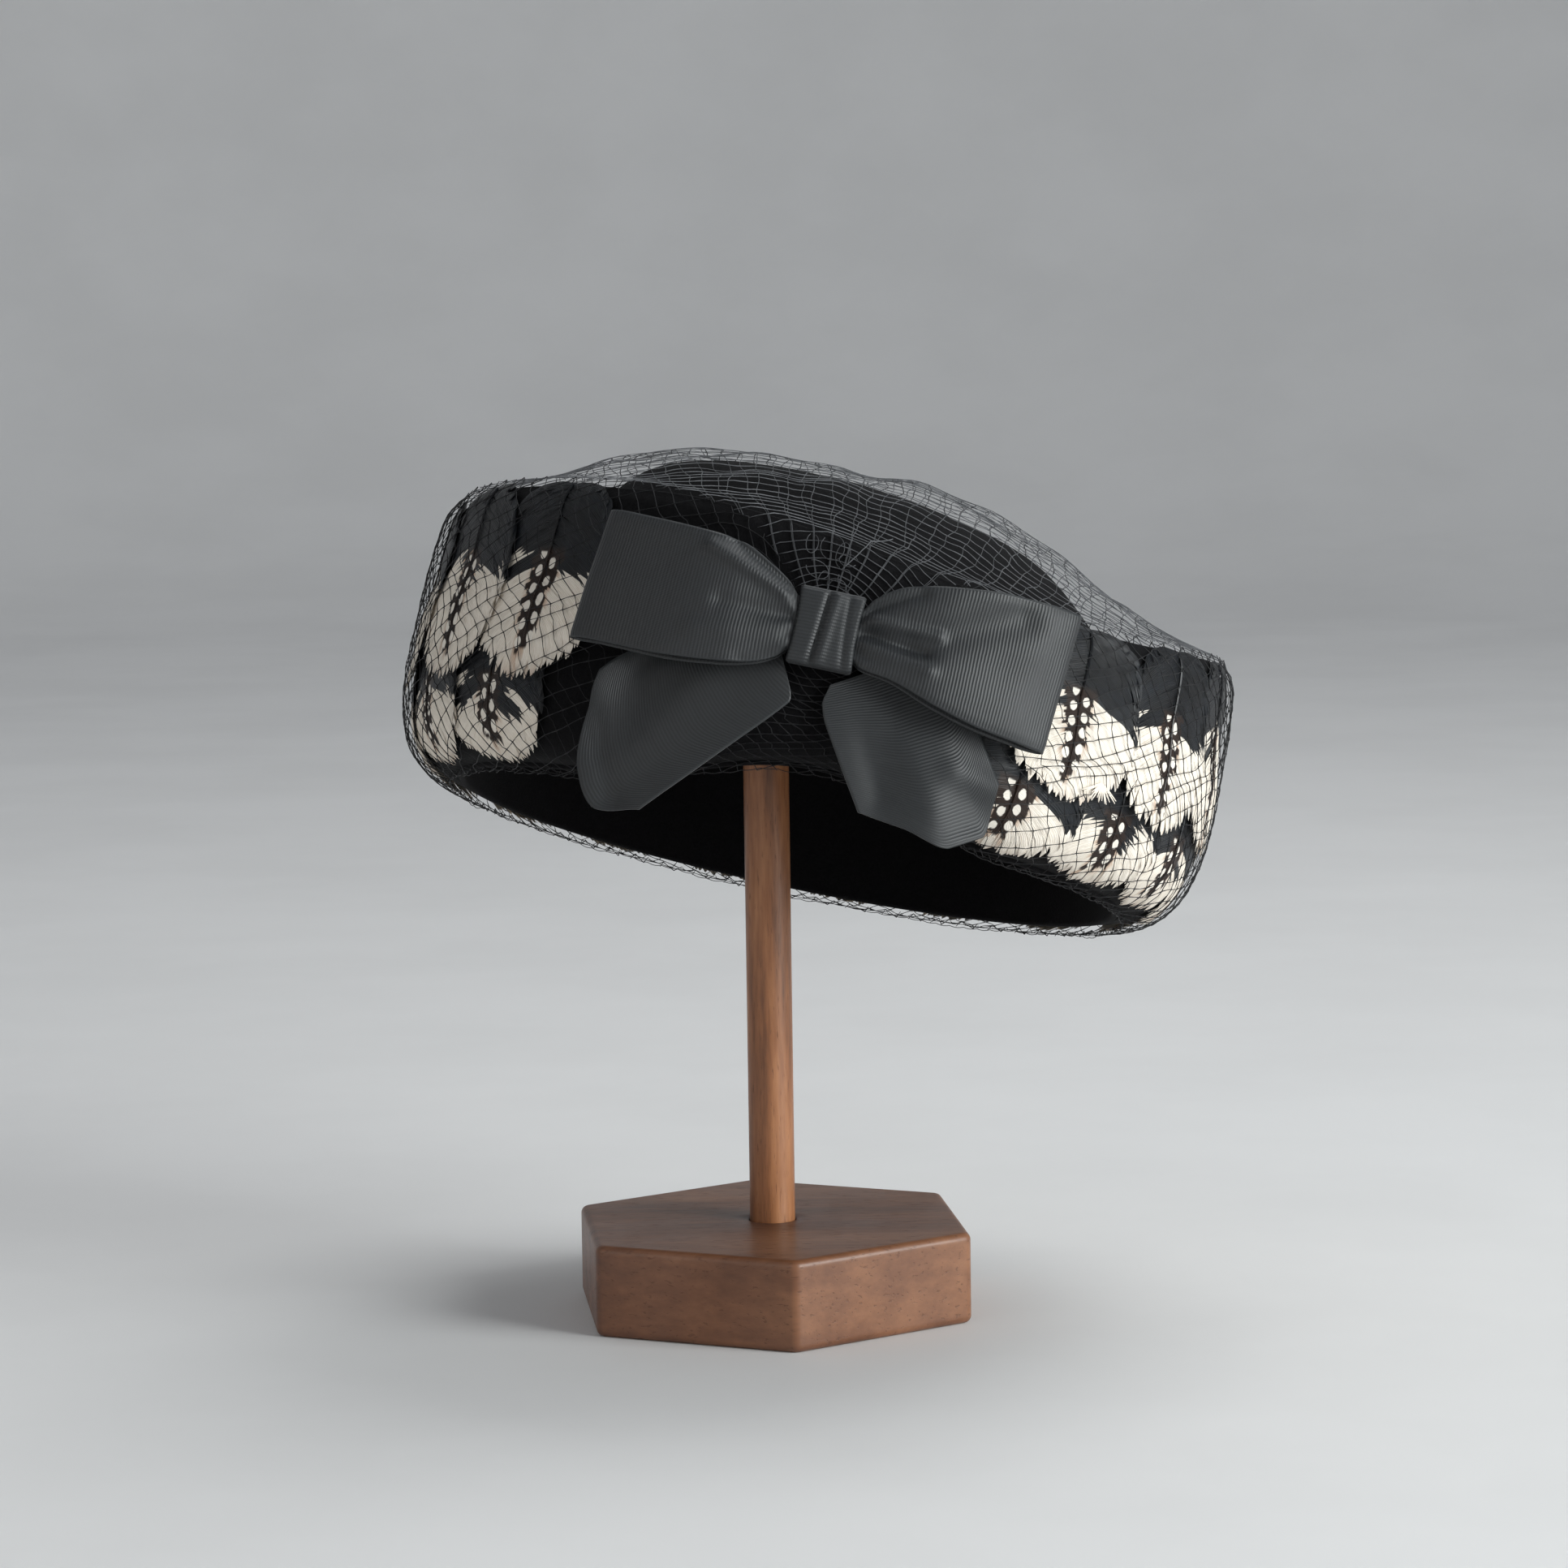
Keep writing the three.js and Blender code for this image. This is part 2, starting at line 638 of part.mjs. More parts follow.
function standBase() {
  const inset = BASE_EDGE_ROUND / Math.cos(HALF_TURN / 6);
  const outline = roundedHexagon(BASE_CORNER_RADIUS - inset, BASE_CORNER_ROUND - BASE_EDGE_ROUND);
  const block = new THREE.ExtrudeGeometry(outline, {
    depth: BASE_THICKNESS - 2 * BASE_EDGE_ROUND,
    bevelSize: BASE_EDGE_ROUND,
    bevelThickness: BASE_EDGE_ROUND,
    bevelSegments: 2,
    curveSegments: 2,
  });
  block.translate(0, 0, BASE_EDGE_ROUND);
  block.rotateZ(degrees(BASE_TURN_DEG));
  const socketRadius = POST_DIAMETER / 2 + CONTACT_GAP;
  const drill = new THREE.CylinderGeometry(socketRadius, socketRadius, 2 * POST_SOCKET_DEPTH, ROUND_FACETS);
  drill.rotateX(HALF_TURN / 2);
  drill.translate(0, 0, BASE_THICKNESS);
  return piece("stand_base", geometryOf(solidOf(block).subtract(solidOf(drill))), WOOD);
}

const FACET_SAMPLES = 4;

// Points spread over each facet between two rings, in the stand's frame
function pointsBetween(lower, upper, hat) {
  return lower.flatMap((start, i) => {
    const next = (i + 1) % lower.length;
    return shares(FACET_SAMPLES).flatMap((across) =>
      shares(FACET_SAMPLES).map((along) => {
        const low = start.clone().lerp(lower[next], across);
        const high = upper[i].clone().lerp(upper[next], across);
        return hat.localToWorld(low.lerp(high, along));
      }),
    );
  });
}

// Height of the middle of the rest's curve, so that its dome comes up just under
// the inside of the crown
function restCurveHeight(hat) {
  const reach = REST_CURVE_RADIUS + CONTACT_GAP;
  const inside = crownInside.slice(1).flatMap((ring, i) => pointsBetween(crownInside[i], ring, hat));
  const heights = inside.map((point) => {
    const aside = Math.hypot(point.x, point.y);
    const above = aside < REST_DIAMETER / 2 + CONTACT_GAP;
    return above ? point.z - Math.sqrt(reach ** 2 - aside ** 2) : Infinity;
  });
  return Math.min(...heights);
}

const DOME_STEPS = 4;

function standRest(curveHeight) {
  const radius = REST_DIAMETER / 2;
  const edgeTop = curveHeight + Math.sqrt(REST_CURVE_RADIUS ** 2 - radius ** 2);
  const edgeBottom = edgeTop - REST_EDGE_HEIGHT;
  const socketRadius = POST_DIAMETER / 2 + CONTACT_GAP;
  const dome = shares(DOME_STEPS).map((share) => {
    const angle = (1 - share) * Math.asin(radius / REST_CURVE_RADIUS);
    const height = curveHeight + REST_CURVE_RADIUS * Math.cos(angle);
    return new THREE.Vector2(REST_CURVE_RADIUS * Math.sin(angle), height);
  });
  const profile = [
    new THREE.Vector2(0, edgeBottom + REST_SOCKET_DEPTH),
    new THREE.Vector2(socketRadius, edgeBottom + REST_SOCKET_DEPTH),
    new THREE.Vector2(socketRadius, edgeBottom),
    new THREE.Vector2(radius, edgeBottom),
    ...dome,
  ];
  profile.at(-1).x = 0;
  const geometry = new THREE.LatheGeometry(profile, ROUND_FACETS);
  geometry.rotateX(HALF_TURN / 2);
  return { mesh: piece("stand_rest", geometry, WOOD), socketTop: edgeBottom + REST_SOCKET_DEPTH };
}

function standPost(top) {
  const foot = BASE_THICKNESS - POST_SOCKET_DEPTH + CONTACT_GAP;
  const radius = POST_DIAMETER / 2;
  const geometry = new THREE.CylinderGeometry(radius, radius, top - foot, ROUND_FACETS);
  geometry.rotateX(HALF_TURN / 2);
  const post = piece("stand_post", geometry, WOOD);
  post.position.z = (top + foot) / 2;
  return post;
}

const hat = new THREE.Group();
hat.rotation.set(degrees(-HAT_LEAN_BACK_DEG), degrees(HAT_LEAN_RIGHT_DEG), 0, "YXZ");
hat.position.set(RIM_CENTRE_RIGHT, 0, RIM_CENTRE_HEIGHT);
hat.updateMatrixWorld();
hat.add(crown(), cuff(), ...feathers(), veil());
hat.add(bowLoop(LEFT_LOOP), bowLoop(RIGHT_LOOP), bowKnot(), bowTail(LEFT_TAIL), bowTail(RIGHT_TAIL));

const rest = standRest(restCurveHeight(hat));
const stand = new THREE.Group();
stand.add(standBase(), standPost(rest.socketTop - CONTACT_GAP), rest.mesh);

const part = new THREE.Group();
part.add(stand, hat);

export default part;
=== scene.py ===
"""A pillbox hat of black felt, with a feathered cuff, a net veil and a ribbon bow, on a wooden stand.

Shapes are worked out in millimetres with numpy and become meshes in metres. The hat is made in a
frame of its own, with its rim at height nought and its front towards -Y, and is then leaned over.
"""

from __future__ import annotations

import logging
import math
from dataclasses import dataclass, field
from enum import Enum
from typing import Callable

import bmesh
import bpy
import numpy as np
from mathutils import Matrix, Vector


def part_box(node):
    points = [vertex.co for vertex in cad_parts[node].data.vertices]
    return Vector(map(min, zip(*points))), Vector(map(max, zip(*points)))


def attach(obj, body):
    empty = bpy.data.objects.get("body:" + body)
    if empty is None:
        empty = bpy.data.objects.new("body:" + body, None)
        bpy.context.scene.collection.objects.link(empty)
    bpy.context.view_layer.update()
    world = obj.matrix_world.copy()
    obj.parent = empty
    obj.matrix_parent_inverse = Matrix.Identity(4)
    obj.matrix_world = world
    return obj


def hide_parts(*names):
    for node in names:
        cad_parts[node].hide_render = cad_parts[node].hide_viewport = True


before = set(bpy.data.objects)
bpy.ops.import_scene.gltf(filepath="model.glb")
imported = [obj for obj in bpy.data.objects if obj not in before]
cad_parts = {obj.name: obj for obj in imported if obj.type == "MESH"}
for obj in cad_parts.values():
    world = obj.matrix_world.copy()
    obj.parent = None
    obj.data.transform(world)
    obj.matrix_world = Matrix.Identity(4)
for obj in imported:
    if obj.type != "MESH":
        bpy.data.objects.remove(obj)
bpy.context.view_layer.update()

LOG = logging.getLogger("pillbox_hat")
BODY = "root"
MM = 0.001
TURN = 2 * math.pi
Array = np.ndarray
Triple = tuple[float, float, float]


class Slot(Enum):
    """The material slots."""

    FELT = "felt"
    PLUMAGE = "plumage"
    NET = "net"
    RIBBON = "ribbon"
    WOOD = "wood"


# Curves and noise


def smoothstep(value: Array | float, low: float, high: float) -> Array:
    """Rises from 0 at low to 1 at high as 3t² - 2t³.

    Args:
        value: Where the step is read.
        low: Where it begins.
        high: Where it ends.

    Returns:
        The height of the step.
    """
    share = np.clip((np.asarray(value, float) - low) / (high - low), 0, 1)
    return share * share * (3 - 2 * share)


def smooth_curve(stations: Array, values: Array, at: Array) -> Array:
    """Reads a smooth curve through values given at rising stations.

    Between two stations runs the cubic with their values and slopes. A station's slope is the
    weighted harmonic mean of the slopes on both sides, or nought at a turn, so that the curve
    never swings past its values.

    Args:
        stations: Where the values are given.
        values: The values, along the first axis.
        at: Where the curve is read.

    Returns:
        The curve's values.
    """
    x, y = np.asarray(stations, float), np.asarray(values, float)
    step = np.diff(x)
    rise = np.diff(y) / step
    slope = np.zeros_like(y)
    slope[0], slope[-1] = rise[0], rise[-1]
    before, after = rise[:-1], rise[1:]
    heavy, light = 2 * step[1:] + step[:-1], step[1:] + 2 * step[:-1]
    steady = before * after > 0
    with np.errstate(divide="ignore", invalid="ignore"):
        mean = (heavy + light) / (heavy / before + light / after)
    slope[1:-1] = np.where(steady, mean, 0)
    at = np.clip(at, x[0], x[-1])
    cell = np.clip(np.searchsorted(x, at, side="right") - 1, 0, len(step) - 1)
    t = (at - x[cell]) / step[cell]
    start, end = (1 + 2 * t) * (1 - t) ** 2, t * t * (3 - 2 * t)
    leave, arrive = t * (1 - t) ** 2 * step[cell], t * t * (t - 1) * step[cell]
    return start * y[cell] + end * y[cell + 1] + leave * slope[cell] + arrive * slope[cell + 1]


def ripple(x: Array, y: Array, wavelength: float, seed: int) -> Array:
    """Soft noise between about -1 and 1: six sine waves that run in seeded directions, averaged.

    Args:
        x: First coordinate, in millimetres.
        y: Second coordinate, in millimetres.
        wavelength: Middle length of the waves.
        seed: Which noise it is.

    Returns:
        The noise at each point.
    """
    rng = np.random.default_rng(seed)
    total = np.zeros(np.broadcast(x, y).shape)
    for heading, phase, stretch in rng.uniform((0, 0, 0.65), (TURN, TURN, 1.5), (6, 3)):
        run = x * math.cos(heading) + y * math.sin(heading)
        total += np.sin(TURN * run / (wavelength * stretch) + phase)
    return total / 3.4


def read_rows(rows: Array, at: Array) -> tuple[Array, ...]:
    """Reads each further column of a table, on straight lines between its rows.

    Args:
        rows: The table. Its first column is the distance.
        at: The distances to read it at.

    Returns:
        One array for each column after the first.
    """
    return tuple(np.interp(at, rows[:, 0], column) for column in rows.T[1:])


def pair_up(first: Array, second: Array) -> Array:
    """Joins two arrays, spread to one shape, as the two numbers of a UV map."""
    return np.stack(np.broadcast_arrays(first, second), -1)


# Surfaces


def all_round(values: Array) -> Callable[[Array], Array]:
    """A map for tubes whose two numbers are the same all round each ring."""
    return lambda c: values + 0 * c[:, None]


@dataclass
class Surface:
    """The grids of points that make up one piece, gathered before they become a mesh."""

    points: list[Array] = field(default_factory=list)
    faces: list[Array] = field(default_factory=list)
    maps: dict[str, list[Array]] = field(default_factory=dict)

    def add_grids(self, points: Array, round_it: bool = False, **maps: Array) -> None:
        """Adds grids of quads between neighbouring rows and columns.

        Args:
            points: Grids x rows x columns x 3, or one grid without the first axis.
            round_it: Whether each grid's last column joins its first.
            maps: For each named UV map, two numbers for each point.
        """
        grids = points if points.ndim == 4 else points[None]
        count, rows, columns = grids.shape[:3]
        grid, row, column = np.meshgrid(
            np.arange(count),
            np.arange(rows - 1),
            np.arange(columns if round_it else columns - 1),
            indexing="ij",
        )
        start = sum(len(block) for block in self.points) + grid * rows * columns
        beside = (column + 1) % columns
        corners = [(row, column), (row, beside), (row + 1, beside), (row + 1, column)]
        quads = np.stack([start + r * columns + c for r, c in corners], -1)
        self.points.append(grids.reshape(-1, 3))
        self.faces.append(quads.reshape(-1, 4))
        for name, values in maps.items():
            spread = np.broadcast_to(values, (*grids.shape[:3], 2))
            self.maps.setdefault(name, []).append(spread.reshape(-1, 2))

    def add_tubes(
        self, paths: Array, normals: Array, radii: Array, flat: float = 1,
        **maps: Callable[[Array], Array],
    ) -> None:
        """Carries a ring of points along each path and closes both its ends to a point.

        A ring's point lies at the path plus radius times (cos of the side vector, sin of the
        normal), where the side vector is the path's direction crossed with the normal.

        Args:
            paths: Tubes x stations x 3.
            normals: The same shape, square to the paths.
            radii: Tubes x stations, or what spreads to that.
            flat: The ring's height as a share of its width.
            maps: For each named UV map, a function of the cosines of the ring's angles that gives
                two numbers for each point, as tubes x stations x sides x 2.
        """
        along = np.gradient(paths, axis=1)
        side = np.cross(along, normals)
        side /= np.linalg.norm(side, axis=-1, keepdims=True) + 1e-12
        up = np.cross(side, along)
        up /= np.linalg.norm(up, axis=-1, keepdims=True) + 1e-12
        radius = np.broadcast_to(radii, paths.shape[:2])
        sides = 4 if flat < 1 else 3
        angle = TURN * np.arange(sides) / sides + (0 if flat < 1 else TURN / 4)
        ring = (
            paths[:, :, None]
            + radius[:, :, None, None] * np.cos(angle)[:, None] * side[:, :, None]
            + radius[:, :, None, None] * np.sin(angle)[:, None] * up[:, :, None] * flat
        )
        ring = np.concatenate(
            [paths[:, :1, None].repeat(sides, 2), ring, paths[:, -1:, None].repeat(sides, 2)], 1
        )
        spread = {
            name: np.concatenate([made[:, :1], made, made[:, -1:]], 1)
            for name, made in ((name, make(np.cos(angle))) for name, make in maps.items())
        }
        self.add_grids(ring, round_it=True, **spread)

    def to_object(
        self, name: str, place: Callable[[Array], Array], closed: bool = True, smooth: bool = True
    ) -> bpy.types.Object:
        """Makes the mesh, with doubled points merged and faces pointing out.

        Args:
            name: The piece's name.
            place: Moves points into the part's frame, still in millimetres.
            closed: Whether the surface encloses a body, so that outwards has a meaning.
            smooth: Whether its faces are shaded as one smooth surface.

        Returns:
            The new object.
        """
        points = place(np.concatenate(self.points)) * MM
        faces = np.concatenate(self.faces)
        mesh = bpy.data.meshes.new(name)
        mesh.from_pydata(points.tolist(), [], faces.tolist())
        corners = np.empty(len(mesh.loops), np.int64)
        mesh.loops.foreach_get("vertex_index", corners)
        for map_name, blocks in self.maps.items():
            layer = mesh.uv_layers.new(name=map_name)
            layer.data.foreach_set("uv", np.concatenate(blocks)[corners].astype(np.float32).ravel())
        work = bmesh.new()
        work.from_mesh(mesh)
        bmesh.ops.remove_doubles(work, verts=work.verts, dist=2e-7)
        if closed:
            bmesh.ops.recalc_face_normals(work, faces=work.faces)
        work.to_mesh(mesh)
        work.free()
        mesh.polygons.foreach_set("use_smooth", np.full(len(mesh.polygons), smooth))
        piece = bpy.data.objects.new(name, mesh)
        bpy.context.scene.collection.objects.link(piece)
        return piece


def finish_piece(piece: bpy.types.Object, material: bpy.types.Material, slot: Slot, *nodes: str) -> None:
    """Gives a piece its material and body, and hides the solids that it replaces.

    Args:
        piece: The new piece.
        material: Its finish.
        slot: The slot for that finish. Not used.
        nodes: The solids that it replaces.
    """
    piece.data.materials.append(material)
    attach(piece, BODY)
    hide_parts(*nodes)
    LOG.info("%s: %d faces", piece.name, len(piece.data.polygons))


# Shaders


class Signal:
    """A socket's value, on which Python arithmetic adds Math nodes."""

    def __init__(self, shader: Shader, socket: bpy.types.NodeSocket) -> None:
        """Keeps the socket and the shader that it belongs to."""
        self.shader = shader
        self.socket = socket

    def math(self, operation: str, *others: Signal | float, clamp: bool = False) -> Signal:
        """The result of one Math node whose first value is this one."""
        inputs = dict(enumerate((self, *others)))
        settings = {"operation": operation, "use_clamp": clamp}
        return self.shader.node("ShaderNodeMath", settings, inputs)[0]

    def __add__(self, other: Signal | float) -> Signal:
        """Sum."""
        return self.math("ADD", other)

    def __sub__(self, other: Signal | float) -> Signal:
        """Difference."""
        return self.math("SUBTRACT", other)

    def __mul__(self, other: Signal | float) -> Signal:
        """Product."""
        return self.math("MULTIPLY", other)

    def __truediv__(self, other: Signal | float) -> Signal:
        """Quotient."""
        return self.math("DIVIDE", other)

    __radd__ = __add__
    __rmul__ = __mul__

    def __rsub__(self, other: float) -> Signal:
        """A number less this value."""
        return (self * -1) + other

    def __abs__(self) -> Signal:
        """Size without sign."""
        return self.math("ABSOLUTE")

    def sine(self, wavelength: float) -> Signal:
        """A sine wave of this value, from 0 to 1."""
        return (self * (TURN / wavelength)).math("SINE") * 0.5 + 0.5

    def step(self, low: float, high: float) -> Signal:
        """Rises smoothly from 0 at low to 1 at high, or falls where low is the greater."""
        settings = {"interpolation_type": "SMOOTHSTEP"}
        if low < high:
            return self.shader.node("ShaderNodeMapRange", settings, {"Value": self, 1: low, 2: high})[0]
        return 1 - self.step(high, low)


class Shader:
    """The node tree of one material, built around a Principled BSDF."""

    def __init__(self, name: str, **constants: float | tuple[float, ...]) -> None:
        """Makes the material and sets the sockets that are the same all over it.

        Args:
            name: The material's name.
            constants: Socket values, with _ for each space in the socket's name.
        """
        self.material = bpy.data.materials.new(name)
        self.material.use_nodes = True
        self.tree = self.material.node_tree
        self.surface = self.tree.nodes["Principled BSDF"]
        for socket, value in constants.items():
            self.surface.inputs[socket.replace("_", " ")].default_value = value

    def node(self, kind: str, settings: dict[str, object], inputs: dict[str | int, object]) -> Outputs:
        """Adds any node.

        Args:
            kind: The node's type.
            settings: Its properties, set first; stops are a ramp's places and colours.
            inputs: Values or links of its sockets, by name or number.

        Returns:
            Its outputs.
        """
        made = self.tree.nodes.new(kind)
        for name, value in settings.items():
            if name == "stops":
                ramp = made.color_ramp.elements
                for index, (place, colour) in enumerate(value):
                    stop = ramp[index] if index < len(ramp) else ramp.new(place)
                    stop.position, stop.color = place, (*colour, 1)
            else:
                setattr(made, name, value)
        for name, value in inputs.items():
            self.feed(made.inputs[name], value)
        return Outputs(self, made)

    def feed(self, socket: bpy.types.NodeSocket, value: object) -> None:
        """Links a signal to a socket, or sets a plain value on it."""
        if isinstance(value, Signal):
            self.tree.links.new(value.socket, socket)
        elif isinstance(value, tuple) and len(value) == 3 and socket.type == "RGBA":
            socket.default_value = (*value, 1)
        else:
            socket.default_value = value

    def place(self, scale: Triple = (1, 1, 1)) -> Signal:
        """Object coordinates, stretched along each axis."""
        coordinates = self.node("ShaderNodeTexCoord", {}, {})["Object"]
        return self.node("ShaderNodeMapping", {}, {"Vector": coordinates, "Scale": scale})[0]

    def uv(self, name: str) -> tuple[Signal, Signal]:
        """The two numbers of one of the piece's own UV maps."""
        vector = self.node("ShaderNodeUVMap", {"uv_map": name}, {})[0]
        split = self.node("ShaderNodeSeparateXYZ", {}, {0: vector})
        return split[0], split[1]

    def noise(self, vector: Signal, scale: float, detail: float = 3, rough: float = 0.55) -> Signal:
        """Noise with that many features in a unit of the vector."""
        inputs = {"Vector": vector, "Scale": scale, "Detail": detail, "Roughness": rough}
        return self.node("ShaderNodeTexNoise", {}, inputs)[0]

    def join(self, x: Signal | float, y: Signal | float, z: Signal | float = 0.0) -> Signal:
        """A vector of three numbers."""
        return self.node("ShaderNodeCombineXYZ", {}, {0: x, 1: y, 2: z})[0]

    def mix(self, share: Signal | float, low: object, high: object) -> Signal:
        """A colour between two others."""
        inputs = {0: share, 6: low, 7: high}
        return self.node("ShaderNodeMix", {"data_type": "RGBA"}, inputs)[2]

    def bump(self, height: Signal, depth: float) -> Signal:
        """A normal that follows a height from 0 to 1, with its depth in metres."""
        sockets = {"Height": height, "Distance": depth, "Strength": 1}
        return self.node("ShaderNodeBump", {}, sockets)[0]

    def finish(self, **links: Signal) -> bpy.types.Material:
        """Feeds the surface's varying sockets and gives the material back."""
        for socket, value in links.items():
            self.feed(self.surface.inputs[socket.replace("_", " ")], value)
        return self.material


class Outputs:
    """A node's outputs, as signals, by name or number."""

    def __init__(self, shader: Shader, node: bpy.types.Node) -> None:
        """Keeps the node."""
        self.shader = shader
        self.node = node

    def __getitem__(self, name: str | int) -> Signal:
        """One output."""
        return Signal(self.shader, self.node.outputs[name])


@dataclass(frozen=True)
class FeltFinish:
    """Black wool felt with a fine, matted nap."""

    dark: Triple = (0.0022, 0.0021, 0.0026)
    worn: Triple = (0.0065, 0.0062, 0.007)
    fibre_scale: float = 1500.0
    patch_scale: float = 60.0
    nap_depth: float = 0.00022

    def material(self) -> bpy.types.Material:
        """Fine noise makes the fibres, and broad noise the patches where the nap lies flat."""
        shader = Shader("black_felt", Specular_IOR_Level=0.1, Sheen_Weight=0.02, Sheen_Roughness=0.5)
        place = shader.place()
        fibres = shader.noise(place, self.fibre_scale, 4, 0.7)
        patches = shader.noise(place, self.patch_scale)
        nap = fibres * 0.7 + patches * 0.3
        return shader.finish(
            Base_Color=shader.mix(nap.step(0.35, 0.7), self.dark, self.worn),
            Roughness=patches.step(0.3, 0.7) * 0.12 + 0.82,
            Normal=shader.bump(fibres, self.nap_depth),
        )


@dataclass(frozen=True)
class RibbonFinish:
    """Charcoal grosgrain, with ribs that run across the ribbon."""

    # The groove colour is painted shade, for the grooves between the ribs.
    groove_shade: Triple = (0.0075, 0.0084, 0.0096)
    rib: Triple = (0.0220, 0.0247, 0.0270)
    rib_pitch: float = 0.85
    thread_pitch: float = 0.32
    rib_depth: float = 0.00008
    edge_from: float = 16.7
    edge_to: float = 17.3

    def material(self) -> bpy.types.Material:
        """The map holds millimetres along and across the ribbon. A sine along it makes the ribs. The colour
        darkens where the weave lies low: painted shade in the grooves between ribs and threads.
        """
        shader = Shader("grosgrain", Specular_IOR_Level=0.5, Sheen_Weight=0.06, Sheen_Roughness=0.35)
        along, across = shader.uv("weave")
        wander = shader.noise(shader.join(along * 0.06, across * 0.25), 1.0, 2)
        ribs = (along + wander * 0.35).sine(self.rib_pitch)
        threads = across.sine(self.thread_pitch)
        edge = abs(across).step(self.edge_from, self.edge_to)
        slub = shader.noise(shader.join(along * 1.2, across * 0.12), 1.0, 3)
        height = (ribs * 0.8 + threads * 0.2) * (1 - edge) + edge * 0.9
        # Painted shade: the colour follows the weave's height, so low places are painted darker; the slub
        # noise is the yarn's own tone.
        tone = (height * 0.72 + slub * 0.5 - 0.12).math("MULTIPLY", 1.0, clamp=True)
        return shader.finish(
            Base_Color=shader.mix(tone, self.groove_shade, self.rib),
            Roughness=0.54 - ribs * 0.12,
            Normal=shader.bump(height, self.rib_depth),
        )


@dataclass(frozen=True)
class NetFinish:
    """Fine black thread with a dull shine. Over the crown its threads are painted lighter: a painted
    highlight for the light they catch there.

    The map tone holds how much of that painted highlight a thread gets.
    """

    dark: Triple = (0.005, 0.005, 0.006)
    # The light colour is a painted highlight: light that the black thread catches.
    light: Triple = (0.150, 0.155, 0.165)
    twist_scale: float = 2200.0
    patch_scale: float = 120.0
    twist_depth: float = 0.00004

    def material(self) -> bpy.types.Material:
        """Fine noise stands for the twist of the thread. Both noises make the painted highlight patchy, and
        the broad noise also varies the roughness.
        """
        shader = Shader("black_net", Specular_IOR_Level=0.3, Sheen_Weight=0.03, Sheen_Roughness=0.3)
        place = shader.place()
        twist = shader.noise(place, self.twist_scale, 2)
        patch_noise = shader.noise(place, self.patch_scale, 3)
        tone, _ = shader.uv("tone")
        # Painted highlight, in patches: the noise varies how much of it a thread gets.
        highlight_patches = (twist * 0.5 + patch_noise * 0.5).step(0.38, 0.66)
        share = (tone * (0.55 + highlight_patches * 0.45)).math("MULTIPLY", 1.0, clamp=True)
        return shader.finish(
            Base_Color=shader.mix(share, self.dark, self.light),
            Roughness=0.42 + patch_noise * 0.2,
            Normal=shader.bump(twist, self.twist_depth),
        )


